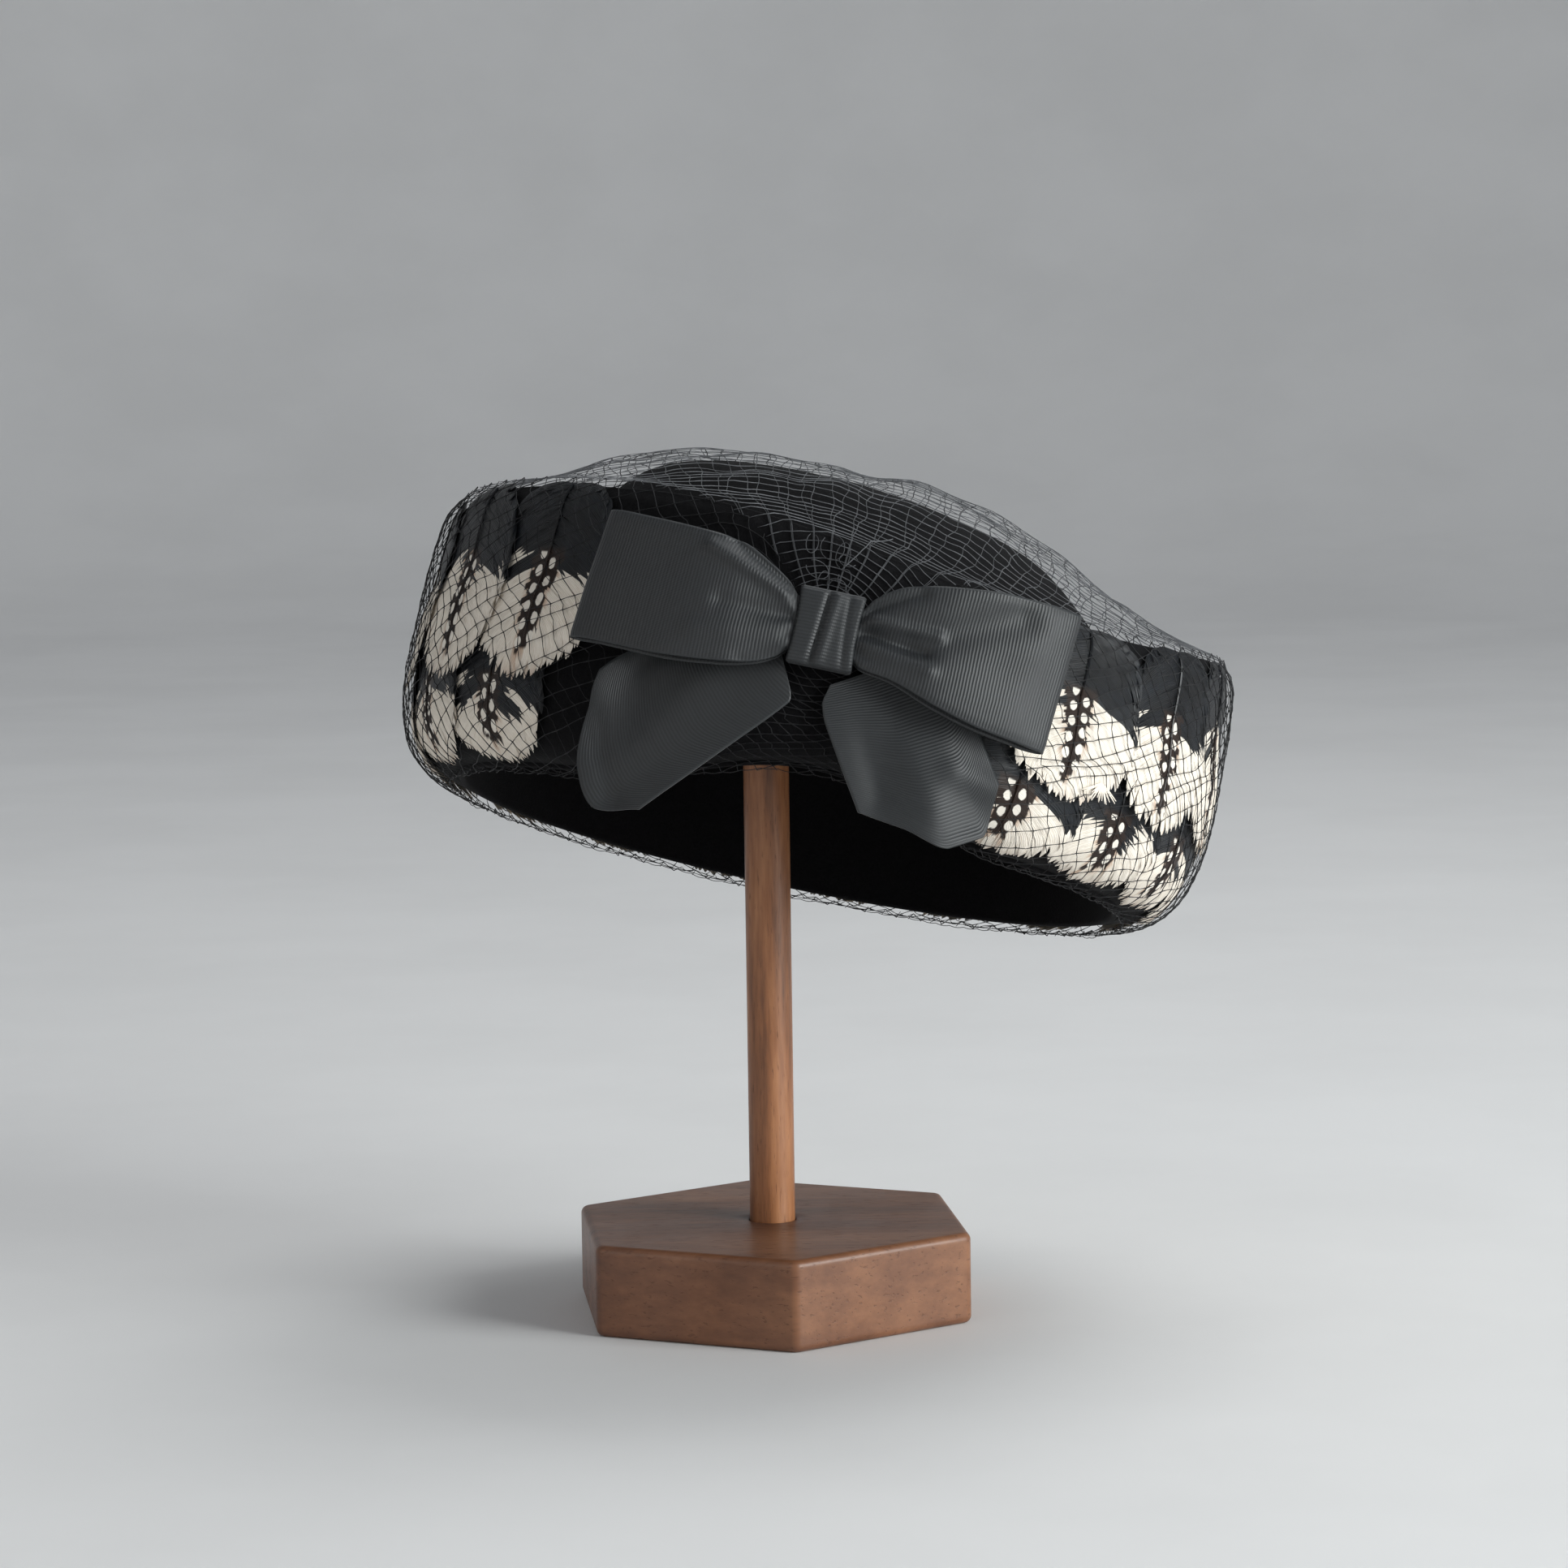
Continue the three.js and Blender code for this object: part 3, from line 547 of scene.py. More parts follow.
@dataclass(frozen=True)
class PlumeFinish:
    """A feather that is black above and cream below, with pale dots down its dark middle.

    The map plan holds millimetres across and along the feather from its quill. The map barb holds
    the place across one blade of barbs, from -1 to 1, and how far along the feather that blade
    turns pale. The map tone holds two random numbers for each blade.
    """

    black: Triple = (0.0025, 0.0027, 0.0035)
    sheen: Triple = (0.007, 0.0095, 0.0135)
    brown: Triple = (0.021, 0.0105, 0.0065)
    cream: Triple = (0.90, 0.83, 0.735)
    shade: Triple = (0.64, 0.545, 0.425)
    rust: Triple = (0.42, 0.20, 0.08)
    dot: Triple = (0.90, 0.84, 0.75)
    streak_half: float = 4.9
    streak_taper: float = 0.12
    dot_column: float = 1.95
    dot_pitch: float = 4.8
    dot_half_width: float = 1.15
    dot_half_length: float = 1.6
    barb_count: float = 2.6
    barb_depth: float = 0.00010

    def material(self, pale_from: float, streak_to: float, name: str) -> bpy.types.Material:
        """Lays the feather's zones over each other.

        Args:
            pale_from: How far along the feather its cream begins, in millimetres.
            streak_to: How far along it the dark middle ends.
            name: The material's name.

        Returns:
            The material.
        """
        shader = Shader(name, Specular_IOR_Level=0.35, Sheen_Weight=0.03, Sheen_Roughness=0.3)
        across, along = shader.uv("plan")
        blade_across, onset = shader.uv("barb")
        tone, luck = shader.uv("tone")
        below = along - pale_from
        pale = (along - onset - abs(blade_across) * 2.2).step(-0.2, 0.3)
        ragged = tone * 2.2 - 1.1
        edge = self.streak_half + ragged - below * self.streak_taper
        end = streak_to + ragged * 1.6 - along
        streak = (edge - abs(across)).step(-0.3, 0.3) * end.step(-0.6, 0.6)
        stagger = across.step(-0.5, 0.5) * 0.42
        row = (below / self.dot_pitch + stagger + luck * 0.1).math("FRACT") - 0.5
        dot_x = (abs(across) - self.dot_column) / self.dot_half_width
        dot_y = row * (self.dot_pitch / self.dot_half_length)
        oval = (dot_x * dot_x + dot_y * dot_y).step(1.15, 0.75)
        spot = oval * below.step(-3.2, -2.6) * (end - 1.2).step(-0.4, 0.4)
        blotch = shader.noise(shader.join(across * 0.13, along * 0.1, streak_to), 1.0, 3)
        barbs = (blade_across * self.barb_count + tone * 3.0).sine(1.0)
        fibre = shader.noise(shader.join(blade_across * 1.5, along * 0.3, tone * 40.0), 1.0, 3, 0.7)
        # Partly painted shade between the fine barbs: the darker shade colour follows their stripes; the
        # fibre noise adds the feather's own random tone.
        cream = shader.mix((fibre * 0.7 + barbs * 0.3).step(0.15, 0.6), self.shade, self.cream)
        fringe = (edge + 2.2 - abs(across)).step(0.0, 2.2) * (end + 3.0).step(-1.0, 2.0)
        tip = (along - streak_to - 1.0).step(0.0, 6.0)
        patches = (blotch * 0.7 + luck * 0.5).step(0.5, 0.85)
        warm = ((fringe * 0.75 + tip * 0.55) * patches).math("MULTIPLY", 0.8, clamp=True)
        cream = shader.mix(warm, cream, self.rust)
        # Painted sheen: noise patches of the black barbs take the bluish sheen colour.
        black = shader.mix((fibre * 0.6 + blotch * 0.7).step(0.5, 0.9), self.black, self.sheen)
        colour = shader.mix(pale, black, cream)
        colour = shader.mix(streak * below.step(-5.0, -2.5), colour, self.brown)
        colour = shader.mix(spot, colour, self.dot)
        return shader.finish(
            Base_Color=colour,
            Roughness=0.33 + pale * 0.3 + fibre * 0.1,
            Normal=shader.bump(barbs * 0.6 + fibre * 0.4, self.barb_depth),
        )


@dataclass(frozen=True)
class WoodFinish:
    """Stained beech under a satin varnish, with its grain along one axis."""

    name: str
    stretch: Triple
    dark: Triple = (0.095, 0.036, 0.017)
    middle: Triple = (0.175, 0.070, 0.032)
    light: Triple = (0.275, 0.120, 0.056)
    bands: float = 55.0
    flecks: float = 420.0

    def material(self) -> bpy.types.Material:
        """Noise stretched along the grain makes the bands, and finer noise the flecks and pores."""
        shader = Shader(self.name, Specular_IOR_Level=0.45, Coat_Roughness=0.22)
        place = shader.place(self.stretch)
        warp = shader.noise(place, self.bands * 0.35, 2)
        bands = shader.noise(place, self.bands, 5, 0.62)
        flecks = shader.noise(place, self.flecks, 3, 0.6)
        pores = shader.noise(place, self.flecks * 2.6, 2).step(0.60, 0.70)
        grain = bands * 0.62 + flecks * 0.2 + warp * 0.18
        stops = ((0.36, self.dark), (0.5, self.middle), (0.66, self.light))
        stain = shader.node("ShaderNodeValToRGB", {"stops": stops}, {0: grain})[0]
        smudge = shader.noise(shader.place(), 38.0, 3)
        return shader.finish(
            Base_Color=shader.mix(pores * 0.55, stain, self.dark),
            Roughness=0.36 + smudge * 0.22 + pores * 0.15,
            Coat_Weight=smudge.step(0.25, 0.7) * 0.28 + 0.05,
            Normal=shader.bump(flecks * 0.6 - pores * 0.4, 0.00010),
        )


@dataclass(frozen=True)
class FloorFinish:
    """A plain pale floor."""

    colour: Triple = (0.82, 0.815, 0.81)
    speck: Triple = (0.78, 0.775, 0.77)

    def material(self) -> bpy.types.Material:
        """Broad faint noise keeps the floor from looking printed."""
        shader = Shader("pale_floor", Specular_IOR_Level=0.3)
        cloud = shader.noise(shader.place(), 6.0, 4)
        return shader.finish(
            Base_Color=shader.mix(cloud.step(0.3, 0.7), self.colour, self.speck),
            Roughness=0.62 + cloud * 0.15,
        )


# The hat's frame and outlines


@dataclass(frozen=True)
class Outline:
    """A section of a round wall as radius and height, from its foot up, with room beside it.

    The rings are shares: how far out of the foot, and how far up. A smooth curve runs through
    them, read by the distance along it.
    """

    foot: float
    reach: float
    height: float
    rings: tuple[tuple[float, float], ...]
    samples: int = 500
    curve: Array = field(init=False, repr=False)

    def __post_init__(self) -> None:
        """Works the curve out as rows of distance along, radius, height and outward normal."""
        table = np.array(self.rings)
        corners = np.stack([self.foot + table[:, 0] * self.reach, table[:, 1] * self.height], -1)
        chord = np.concatenate([[0], np.cumsum(np.linalg.norm(np.diff(corners, axis=0), axis=1))])
        at = np.linspace(0, chord[-1], self.samples)
        line = np.stack([smooth_curve(chord, corners[:, k], at) for k in (0, 1)], -1)
        run = np.gradient(line, axis=0)
        run /= np.linalg.norm(run, axis=1, keepdims=True)
        steps = np.linalg.norm(np.diff(line, axis=0), axis=1)
        along = np.concatenate([[0], np.cumsum(steps)])
        made = np.column_stack([along, line, run[:, 1], -run[:, 0]])
        object.__setattr__(self, "curve", made)

    @property
    def length(self) -> float:
        """The length of the whole curve."""
        return float(self.curve[-1, 0])

    def along_at(self, up: Array | float) -> Array:
        """The distance along the curve at a share of its height."""
        return np.interp(np.asarray(up) * self.height, self.curve[:, 2], self.curve[:, 0])

    def read(self, along: Array, distance: Array | float) -> tuple[Array, Array]:
        """Radius and height at a distance along the curve, moved out square to it."""
        radius, height, out, up = read_rows(self.curve, along)
        return radius + out * distance, height + up * distance


def round_points(azimuth: Array, radius: Array, height: Array) -> Array:
    """Points round the hat: 0 is its front, and a positive azimuth lies to the right."""
    right, back = radius * np.sin(azimuth), -radius * np.cos(azimuth)
    return np.stack(np.broadcast_arrays(right, back, height), -1)


@dataclass(frozen=True)
class HatForm:
    """The felt's shape and how the hat sits on its stand."""

    rim_centre: Triple = (5.46, 0, 123.8)
    lean_back_deg: float = 13.75
    lean_right_deg: float = 13.15
    contact_gap: float = 0.3
    crown_radius: float = 89.0
    crown_wall: float = 2.0
    crown_height: float = 95.0
    crown_slant_deg: float = 4.2
    cuff_wall: float = 2.2
    cuff_height: float = 68.5
    cuff_flare: float = 14.9
    cuff_dip: float = 10.7
    dip_at_deg: float = 30.0
    dip_half_deg: float = 62.0
    arch_rise: float = 10.0
    arch_half_deg: float = 35.0
    arch_fade: float = 0.5
    slant_from: float = 0.6
    slant_to: float = 0.9
    crown: Outline = field(init=False, repr=False)
    cuff: Outline = field(init=False, repr=False)

    def __post_init__(self) -> None:
        """Draws both sections from their tables of shares out and up."""
        crown_rings = (
            (1, 0), (0.995, 0.19), (0.966, 0.375), (0.9, 0.56), (0.81, 0.71), (0.727, 0.815),
            (0.663, 0.875), (0.6, 0.912), (0.48, 0.948), (0.33, 0.974), (0.17, 0.992), (0, 1),
        )
        cuff_rings = (
            (0, 0), (0.25, 0.008), (0.52, 0.037), (0.74, 0.09), (0.9, 0.17), (0.975, 0.29),
            (1, 0.5), (0.99, 0.74), (0.965, 0.88), (0.91, 0.96), (0.82, 1),
        )
        crown = Outline(0, self.crown_radius, self.crown_height, crown_rings)
        cuff = Outline(self.rim_radius, self.cuff_flare, self.cuff_height, cuff_rings)
        object.__setattr__(self, "crown", crown)
        object.__setattr__(self, "cuff", cuff)

    @property
    def rim_radius(self) -> float:
        """Radius of the cuff's foot."""
        return self.crown_radius + self.contact_gap

    @property
    def cuff_radius(self) -> float:
        """Greatest radius of the cuff's outer side."""
        return self.rim_radius + self.cuff_flare

    def to_stand(self, points: Array) -> Array:
        """Leans the hat's points back, then right, and sets them on the stand."""
        back, right = math.radians(self.lean_back_deg), math.radians(self.lean_right_deg)
        lean = Matrix.Rotation(right, 3, "Y") @ Matrix.Rotation(-back, 3, "X")
        return points @ np.array(lean).T + np.array(self.rim_centre)

    def bell(self, azimuth: Array, middle_deg: float, half_deg: float) -> Array:
        """A squared cosine round the hat: 1 at its middle and 0 from half its width on."""
        off = azimuth - math.radians(middle_deg)
        turn = np.abs(np.arctan2(np.sin(off), np.cos(off)))
        return np.cos(np.minimum(turn / math.radians(half_deg), 1) * TURN / 4) ** 2

    def arch(self, azimuth: Array, height: Array) -> Array:
        """How far the front's arch lifts the wall, fading upwards."""
        fade = np.clip(1 - height / (self.arch_fade * self.cuff_height), 0, 1)
        return self.arch_rise * self.bell(azimuth, 0, self.arch_half_deg) * fade

    def dip(self, azimuth: Array, height: Array) -> Array:
        """How far the dip of the cuff's edge lowers the cuff, growing upwards."""
        share = self.bell(azimuth, self.dip_at_deg, self.dip_half_deg)
        return self.cuff_dip * share * height / self.cuff_height

    def slant(self, right: Array, height: Array) -> Array:
        """How far the slanted top lifts the crown."""
        weight = smoothstep(height / self.crown_height, self.slant_from, self.slant_to)
        return -right * math.tan(math.radians(self.crown_slant_deg)) * weight

    def crown_points(self, azimuth: Array, along: Array, distance: Array | float) -> Array:
        """Points off the crown's outer side."""
        radius, height = self.crown.read(along, distance)
        points = round_points(azimuth, radius, height + self.arch(azimuth, height))
        points[..., 2] += self.slant(points[..., 0], np.broadcast_to(height, points.shape[:-1]))
        return points

    def cuff_points(self, azimuth: Array, along: Array, distance: Array | float) -> Array:
        """Points off the cuff's outer side."""
        radius, height = self.cuff.read(along, distance)
        up = height + self.arch(azimuth, height) - self.dip(azimuth, height)
        return round_points(azimuth, radius, up)


@dataclass
class Felt:
    """The crown and the cuff, as closed walls of felt."""

    form: HatForm
    finish: FeltFinish = FeltFinish()
    columns: int = 240
    rows: int = 90
    edge_rows: int = 7
    crown_bulge: float = 0.35
    cuff_bulge: float = 0.5
    noise_ring: float = 90.0
    bulge_wave: float = 45.0
    bulge_from: float = 4.0
    bulge_full: float = 25.0

    def wall(self, outline: Outline, thickness: float, open_top: bool) -> tuple[Array, Array]:
        """Distance along and out, for a walk up the outside, over the edge and down the inside.

        Half circles round the wall's free edges.

        Args:
            outline: The wall's outer side.
            thickness: The wall's thickness.
            open_top: Whether the top is a free edge as the foot is.

        Returns:
            Distances along the outline and distances off it, for each row.
        """
        climb = outline.length * (1 - np.cos(np.linspace(0, TURN / 2, self.rows))) / 2
        turn = np.linspace(0, TURN / 2, self.edge_rows)[1:-1]
        over = outline.length + np.sin(turn) * thickness / 2
        foot = -np.sin(turn) * thickness / 2
        round_off = -thickness * (1 - np.cos(turn)) / 2
        along = [climb, over if open_top else [], climb[::-1], foot, climb[:1]]
        off = [0 * climb, round_off if open_top else [], 0 * climb - thickness, round_off[::-1], [0]]
        return np.concatenate(along), np.concatenate(off)

    def build(self) -> None:
        """Makes both walls. Soft noise bulges them a little, as hand-blocked felt is."""
        azimuth = np.linspace(0, TURN, self.columns + 1)[None, :]
        pieces = (
            ("felt_crown", "crown", self.form.crown, self.form.crown_wall, self.crown_bulge),
            ("felt_cuff", "cuff", self.form.cuff, self.form.cuff_wall, self.cuff_bulge),
        )
        material = self.finish.material()
        for name, node, outline, thickness, bulge in pieces:
            is_cuff = node == "cuff"
            points_at = self.form.cuff_points if is_cuff else self.form.crown_points
            along, off = self.wall(outline, thickness, is_cuff)
            past = along - np.clip(along, 0, outline.length)
            around = azimuth * self.form.cuff_radius
            ring_x, ring_y = np.sin(azimuth) * self.noise_ring, np.cos(azimuth) * self.noise_ring
            wobble = ripple(ring_x, ring_y + along[:, None], self.bulge_wave, len(name))
            points = points_at(azimuth, along[:, None] + 0 * around, off[:, None] + 0 * around)
            inner = points_at(azimuth, along[:, None] + 0 * around, off[:, None] + 1 + 0 * around)
            swell = wobble * bulge * smoothstep(along, self.bulge_from, self.bulge_full)[:, None]
            points += (inner - points) * swell[..., None] * 0.5
            points[..., 2] += past[:, None]
            made = Surface()
            made.add_grids(points)
            finish_piece(made.to_object(name, self.form.to_stand), material, Slot.FELT, node)


# Feathers


@dataclass(frozen=True)
class FeatherRow:
    """One row of feathers round the cuff.

    Heights are shares of the cuff's height. Over gives, for some heights, how much of the lower
    row's thickness the row stands on there.
    """

    name: str
    node: str
    first_deg: float
    last_deg: float
    quill_up: float
    tip_up: float
    pale_up: float
    over: tuple[tuple[float, float], ...]
    overhang: float
    seed: int


@dataclass
class Plumage:
    """Two rows of lapped feathers, each made of its barbs."""

    form: HatForm
    finish: PlumeFinish = PlumeFinish()
    width: float = 42.0
    wall: float = 0.5
    count: int = 15
    barbs: int = 58
    stations: int = 8
    barb_width: float = 1.15
    barb_flat: float = 0.1
    barb_bend: float = 2.1
    taper_at: tuple[float, ...] = (0, 0.25, 0.7, 0.93, 1)
    taper: tuple[float, ...] = (0.5, 0.9, 1, 0.6, 0.12)
    flame_pitch: float = 8.0
    flame_height: float = 6.5
    notch_depth: float = 11.0
    down_azimuth_deg: float = 41.0
    down_up: float = 33.5
    down_barbs: int = 13
    edge_right_deg: float = 16.5
    edge_left_deg: float = 34.0

    def edge_deg(self, azimuth: Array) -> Array:
        """How far from the hat's front the feathers begin, on the side that an azimuth lies on."""
        return np.where(azimuth > 0, self.edge_right_deg, self.edge_left_deg)

    def rows(self) -> tuple[FeatherRow, FeatherRow]:
        """The upper row and the lower row, whose upper part it covers."""
        upper = FeatherRow(
            name="plume_upper", node="upper_feather", first_deg=36, last_deg=314.5,
            quill_up=0.985, tip_up=0.275, pale_up=0.70,
            over=((0.25, 1), (0.5, 1), (0.74, 0), (1, 0)), overhang=1.2, seed=11,
        )
        lower = FeatherRow(
            name="plume_lower", node="lower_feather", first_deg=28, last_deg=307,
            quill_up=0.47, tip_up=0.012, pale_up=0.235,
            over=((0, 0), (1, 0)), overhang=0.8, seed=12,
        )
        return upper, lower

    def pitch(self, row: FeatherRow) -> float:
        """The angle from one feather to the next."""
        return math.radians((row.last_deg - row.first_deg) / (self.count - 1))

    def lap_rise(self, row: FeatherRow) -> float:
        """How far a feather rises across its width, to pass over its neighbours."""
        return (self.wall + self.form.contact_gap) * self.width / self.form.cuff_radius / self.pitch(row)

    @property
    def lower_top(self) -> float:
        """How far the lower row's outer side stands off the felt."""
        return self.form.contact_gap + self.lap_rise(self.rows()[1]) + self.wall

    @property
    def upper_top(self) -> float:
        """How far the upper row's outer side stands off the felt."""
        return self.lower_top + self.form.contact_gap + self.lap_rise(self.rows()[0]) + self.wall

    def half_width(self, share: Array) -> Array:
        """Half the feather's width at a share of its length: a rounded blade, widest past its middle."""
        stations = np.array([0, 0.12, 0.35, 0.62, 0.8, 0.9, 0.96, 1.0])
        widths = np.array([0.5, 0.78, 0.96, 1.0, 0.86, 0.64, 0.4, 0.0])
        return smooth_curve(stations, widths, share) * self.width / 2

    def barb_paths(self, length: float, rng: np.random.Generator) -> tuple[Array, Array]:
        """Where each barb runs, across and along the feather.

        A barb leaves the quill at a root and bends towards the tip: its place across rises as
        1 - (1 - t)ᵇ, b being barb_bend, while its place along rises evenly. Its end lies on the
        feather's outline, a little ragged.

        Args:
            length: The feather's length.
            rng: The feather's own random numbers.

        Returns:
            Places across and along, for each barb and station.
        """
        outline_at = np.linspace(0.02, 1, 300)
        edge_x, edge_y = self.half_width(outline_at), outline_at * length
        walk = np.concatenate([[0], np.cumsum(np.hypot(np.diff(edge_x), np.diff(edge_y)))])
        rank = (np.arange(self.barbs) + rng.uniform(-0.3, 0.3, self.barbs)) / (self.barbs - 1)
        place = np.clip(rank, 0, 1) * walk[-1]
        end_x, end_y = np.interp(place, walk, edge_x), np.interp(place, walk, edge_y)
        root = np.clip(end_y - length * (0.42 - 0.12 * rank), -0.04 * length, 0.86 * length)
        ragged = rng.uniform(-1.2, 0.9, self.barbs) + np.where(rng.random(self.barbs) < 0.15, -2.2, 0)
        reach = 1 + ragged / np.hypot(end_x, end_y - root)
        t = np.linspace(0, 1, self.stations)[None, :]
        bend = 1 - (1 - t) ** self.barb_bend
        across = (end_x * reach)[:, None] * bend
        along = root[:, None] + ((end_y - root) * reach)[:, None] * t
        return across, along

    def feather(self, row: FeatherRow, slot: int, material: bpy.types.Material) -> None:
        """Makes one feather: the barbs of both sides and the quill between them.

        Args:
            row: The feather's row.
            slot: Its place in the row.
            material: The row's finish.
        """
        rng = np.random.default_rng((row.seed, slot))
        middle = math.radians(row.first_deg) + slot * self.pitch(row)
        quill, tip = self.form.cuff.along_at(row.quill_up), self.form.cuff.along_at(row.tip_up)
        length = float(quill - tip) + row.overhang
        pale_from = float(quill - self.form.cuff.along_at(row.pale_up))
        turn, shift = math.radians(rng.uniform(-4, 4)), rng.uniform(-1.2, 1.2)
        station = np.linspace(0, 1, self.stations)
        made = Surface()
        for side in (-1, 1):
            across, along = self.barb_paths(length, rng)
            across = across * side
            onset = self.pale_onset(along[:, -1], pale_from, rng)
            tone, luck = rng.random((2, self.barbs))
            lift = 0.12 + 0.3 * station + rng.uniform(0, 0.22, (self.barbs, 1))
            curl = rng.uniform(0, 0.7, (self.barbs, 1)) * station**4
            points, normals = self.lay(row, middle, turn, shift, across, along, quill, lift + curl)
            taper = np.interp(station, self.taper_at, self.taper)
            width = self.barb_width * taper * rng.uniform(0.8, 1.25, (self.barbs, 1))
            plan = np.stack([across, along], -1)[:, :, None]
            beside = np.stack([-np.gradient(along, axis=1), np.gradient(across, axis=1)], -1)
            beside *= (width / np.linalg.norm(beside, axis=-1))[..., None]
            blank = np.zeros(plan.shape[:-1])
            maps = {
                "plan": lambda c, plan=plan, beside=beside[:, :, None]: plan + c[:, None] * beside,
                "barb": lambda c, onset=onset[:, None, None]: pair_up(c + blank, onset),
                "tone": lambda c, tone=tone[:, None, None], luck=luck[:, None, None]: pair_up(
                    tone + 0 * c + blank, luck
                ),
            }
            made.add_tubes(points, normals, width, self.barb_flat, **maps)
        self.add_quill(made, row, middle, turn, shift, length, float(quill))
        if row.name == "plume_upper" and slot == 0:
            self.add_down(made, length)
        number = f"{slot + 1:02d}"
        piece = made.to_object(f"{row.name}_{number}", self.form.to_stand, smooth=False)
        finish_piece(piece, material, Slot.PLUMAGE, f"{row.node}_{number}")

    def pale_onset(self, end: Array, pale_from: float, rng: np.random.Generator) -> Array:
        """How far along the feather each barb turns pale.

        Neighbouring barbs form flames, each barb has its own luck, and the barbs that end soon
        below the pale zone's start turn pale late or never, which leaves a dark notch at the edge.

        Args:
            end: How far along the feather each barb ends.
            pale_from: Where the pale zone starts.
            rng: The feather's own random numbers.

        Returns:
            The place for each barb.
        """
        flames = ripple(end, 0 * end, self.flame_pitch, int(rng.integers(1 << 30)))
        notch = rng.uniform(1, self.notch_depth) * (1 - smoothstep(end - pale_from, 1, 13))
        return pale_from + self.flame_height * flames + notch + rng.uniform(-1.2, 1.2, self.barbs)

    def lay(
        self, row: FeatherRow, middle: float, turn: float, shift: float,
        across: Array, along: Array, quill: float, lift: Array,
    ) -> tuple[Array, Array]:
        """Lays the feather's flat plan on the cuff.

        Args:
            row: The feather's row.
            middle: Azimuth of its middle.
            turn: How far it is turned in its own plane.
            shift: How far it is moved sideways.
            across: Places across it.
            along: Places along it, from the quill down.
            quill: The quill's distance along the cuff's outline.
            lift: How far each place stands off the feather's seat.

        Returns:
            Points, and normals of the cuff there.
        """
        x = across * math.cos(turn) + along * math.sin(turn) + shift
        down = along * math.cos(turn) - across * math.sin(turn)
        share = np.clip(2 * x / self.width, -1.1, 1.1)
        place = quill - down
        up = read_rows(self.form.cuff.curve, place)[1] / self.form.cuff_height
        over = smooth_curve(*np.array(row.over).T, up)
        seat = self.form.contact_gap + over * self.lower_top + self.lap_rise(row) * (1 + share) / 2
        azimuth = middle + x / self.form.cuff_radius
        below = np.minimum(place, 0)
        points = self.form.cuff_points(azimuth, np.maximum(place, 0), seat + lift)
        outside = self.form.cuff_points(azimuth, np.maximum(place, 0), seat + lift + 1)
        points[..., 2] += below
        return points, outside - points + np.stack([0 * below, 0 * below, below], -1)

    def add_quill(
        self, made: Surface, row: FeatherRow, middle: float, turn: float, shift: float,
        length: float, quill: float,
    ) -> None:
        """Adds the thin shaft down the feather's middle.

        Args:
            made: The feather so far.
            row: The feather's row.
            middle: Azimuth of its middle.
            turn: How far it is turned in its own plane.
            shift: How far it is moved sideways.
            length: Its length.
            quill: The quill's distance along the cuff's outline.
        """
        along = np.linspace(-0.03, 0.9, 24)[None, :] * length
        points, normals = self.lay(row, middle, turn, shift, 0 * along, along, quill, 0.55 + 0 * along)
        plan = np.stack([0 * along, along], -1)[:, :, None]
        still = {
            "plan": all_round(plan),
            "barb": all_round(plan * 0 + np.array([0.0, 2 * length])),
            "tone": all_round(plan * 0 + 0.5),
        }
        made.add_tubes(points, normals, np.linspace(0.4, 0.12, 24)[None, :], 0.7, **still)

    def add_down(self, made: Surface, length: float) -> None:
        """Adds the small fan of white down that hangs out below the upper row, right of the bow.

        Args:
            made: The feather that it belongs to.
            length: That feather's length.
        """
        rng = np.random.default_rng(17)
        reach = np.linspace(0, 1, 7)[None, :]
        heading = np.radians(np.linspace(-64, 60, self.down_barbs) + rng.uniform(-4, 4, self.down_barbs))
        run = rng.uniform(4.6, 7.4, (self.down_barbs, 1)) * reach
        right = run * np.sin(heading)[:, None]
        azimuth = math.radians(self.down_azimuth_deg) + right / self.form.cuff_radius
        along = self.down_up - run * np.cos(heading)[:, None]
        off = self.upper_top + 0.4 + 0.9 * reach * (1 - 0.4 * reach) + 0 * run
        points = self.form.cuff_points(azimuth, along, off)
        normals = self.form.cuff_points(azimuth, along, off + 1) - points
        still = np.zeros((*points.shape[:2], 1, 2))
        maps = {
            "plan": all_round(still + np.array([self.width, length]) * 0.5),
            "barb": all_round(still + np.array([0.0, -length])),
            "tone": all_round(still + np.array([0.5, 0.0])),
        }
        made.add_tubes(points, normals, np.interp(reach, [0, 0.3, 1], [0.2, 0.3, 0.1]), 0.4, **maps)

    def build(self) -> None:
        """Makes both rows."""
        for row in self.rows():
            quill = float(self.form.cuff.along_at(row.quill_up))
            pale_from = quill - float(self.form.cuff.along_at(row.pale_up))
            streak_to = quill - float(self.form.cuff.along_at(row.tip_up)) - 5.5
            material = self.finish.material(pale_from, streak_to, row.name)
            for slot in range(self.count):
                self.feather(row, slot, material)


# Net veil


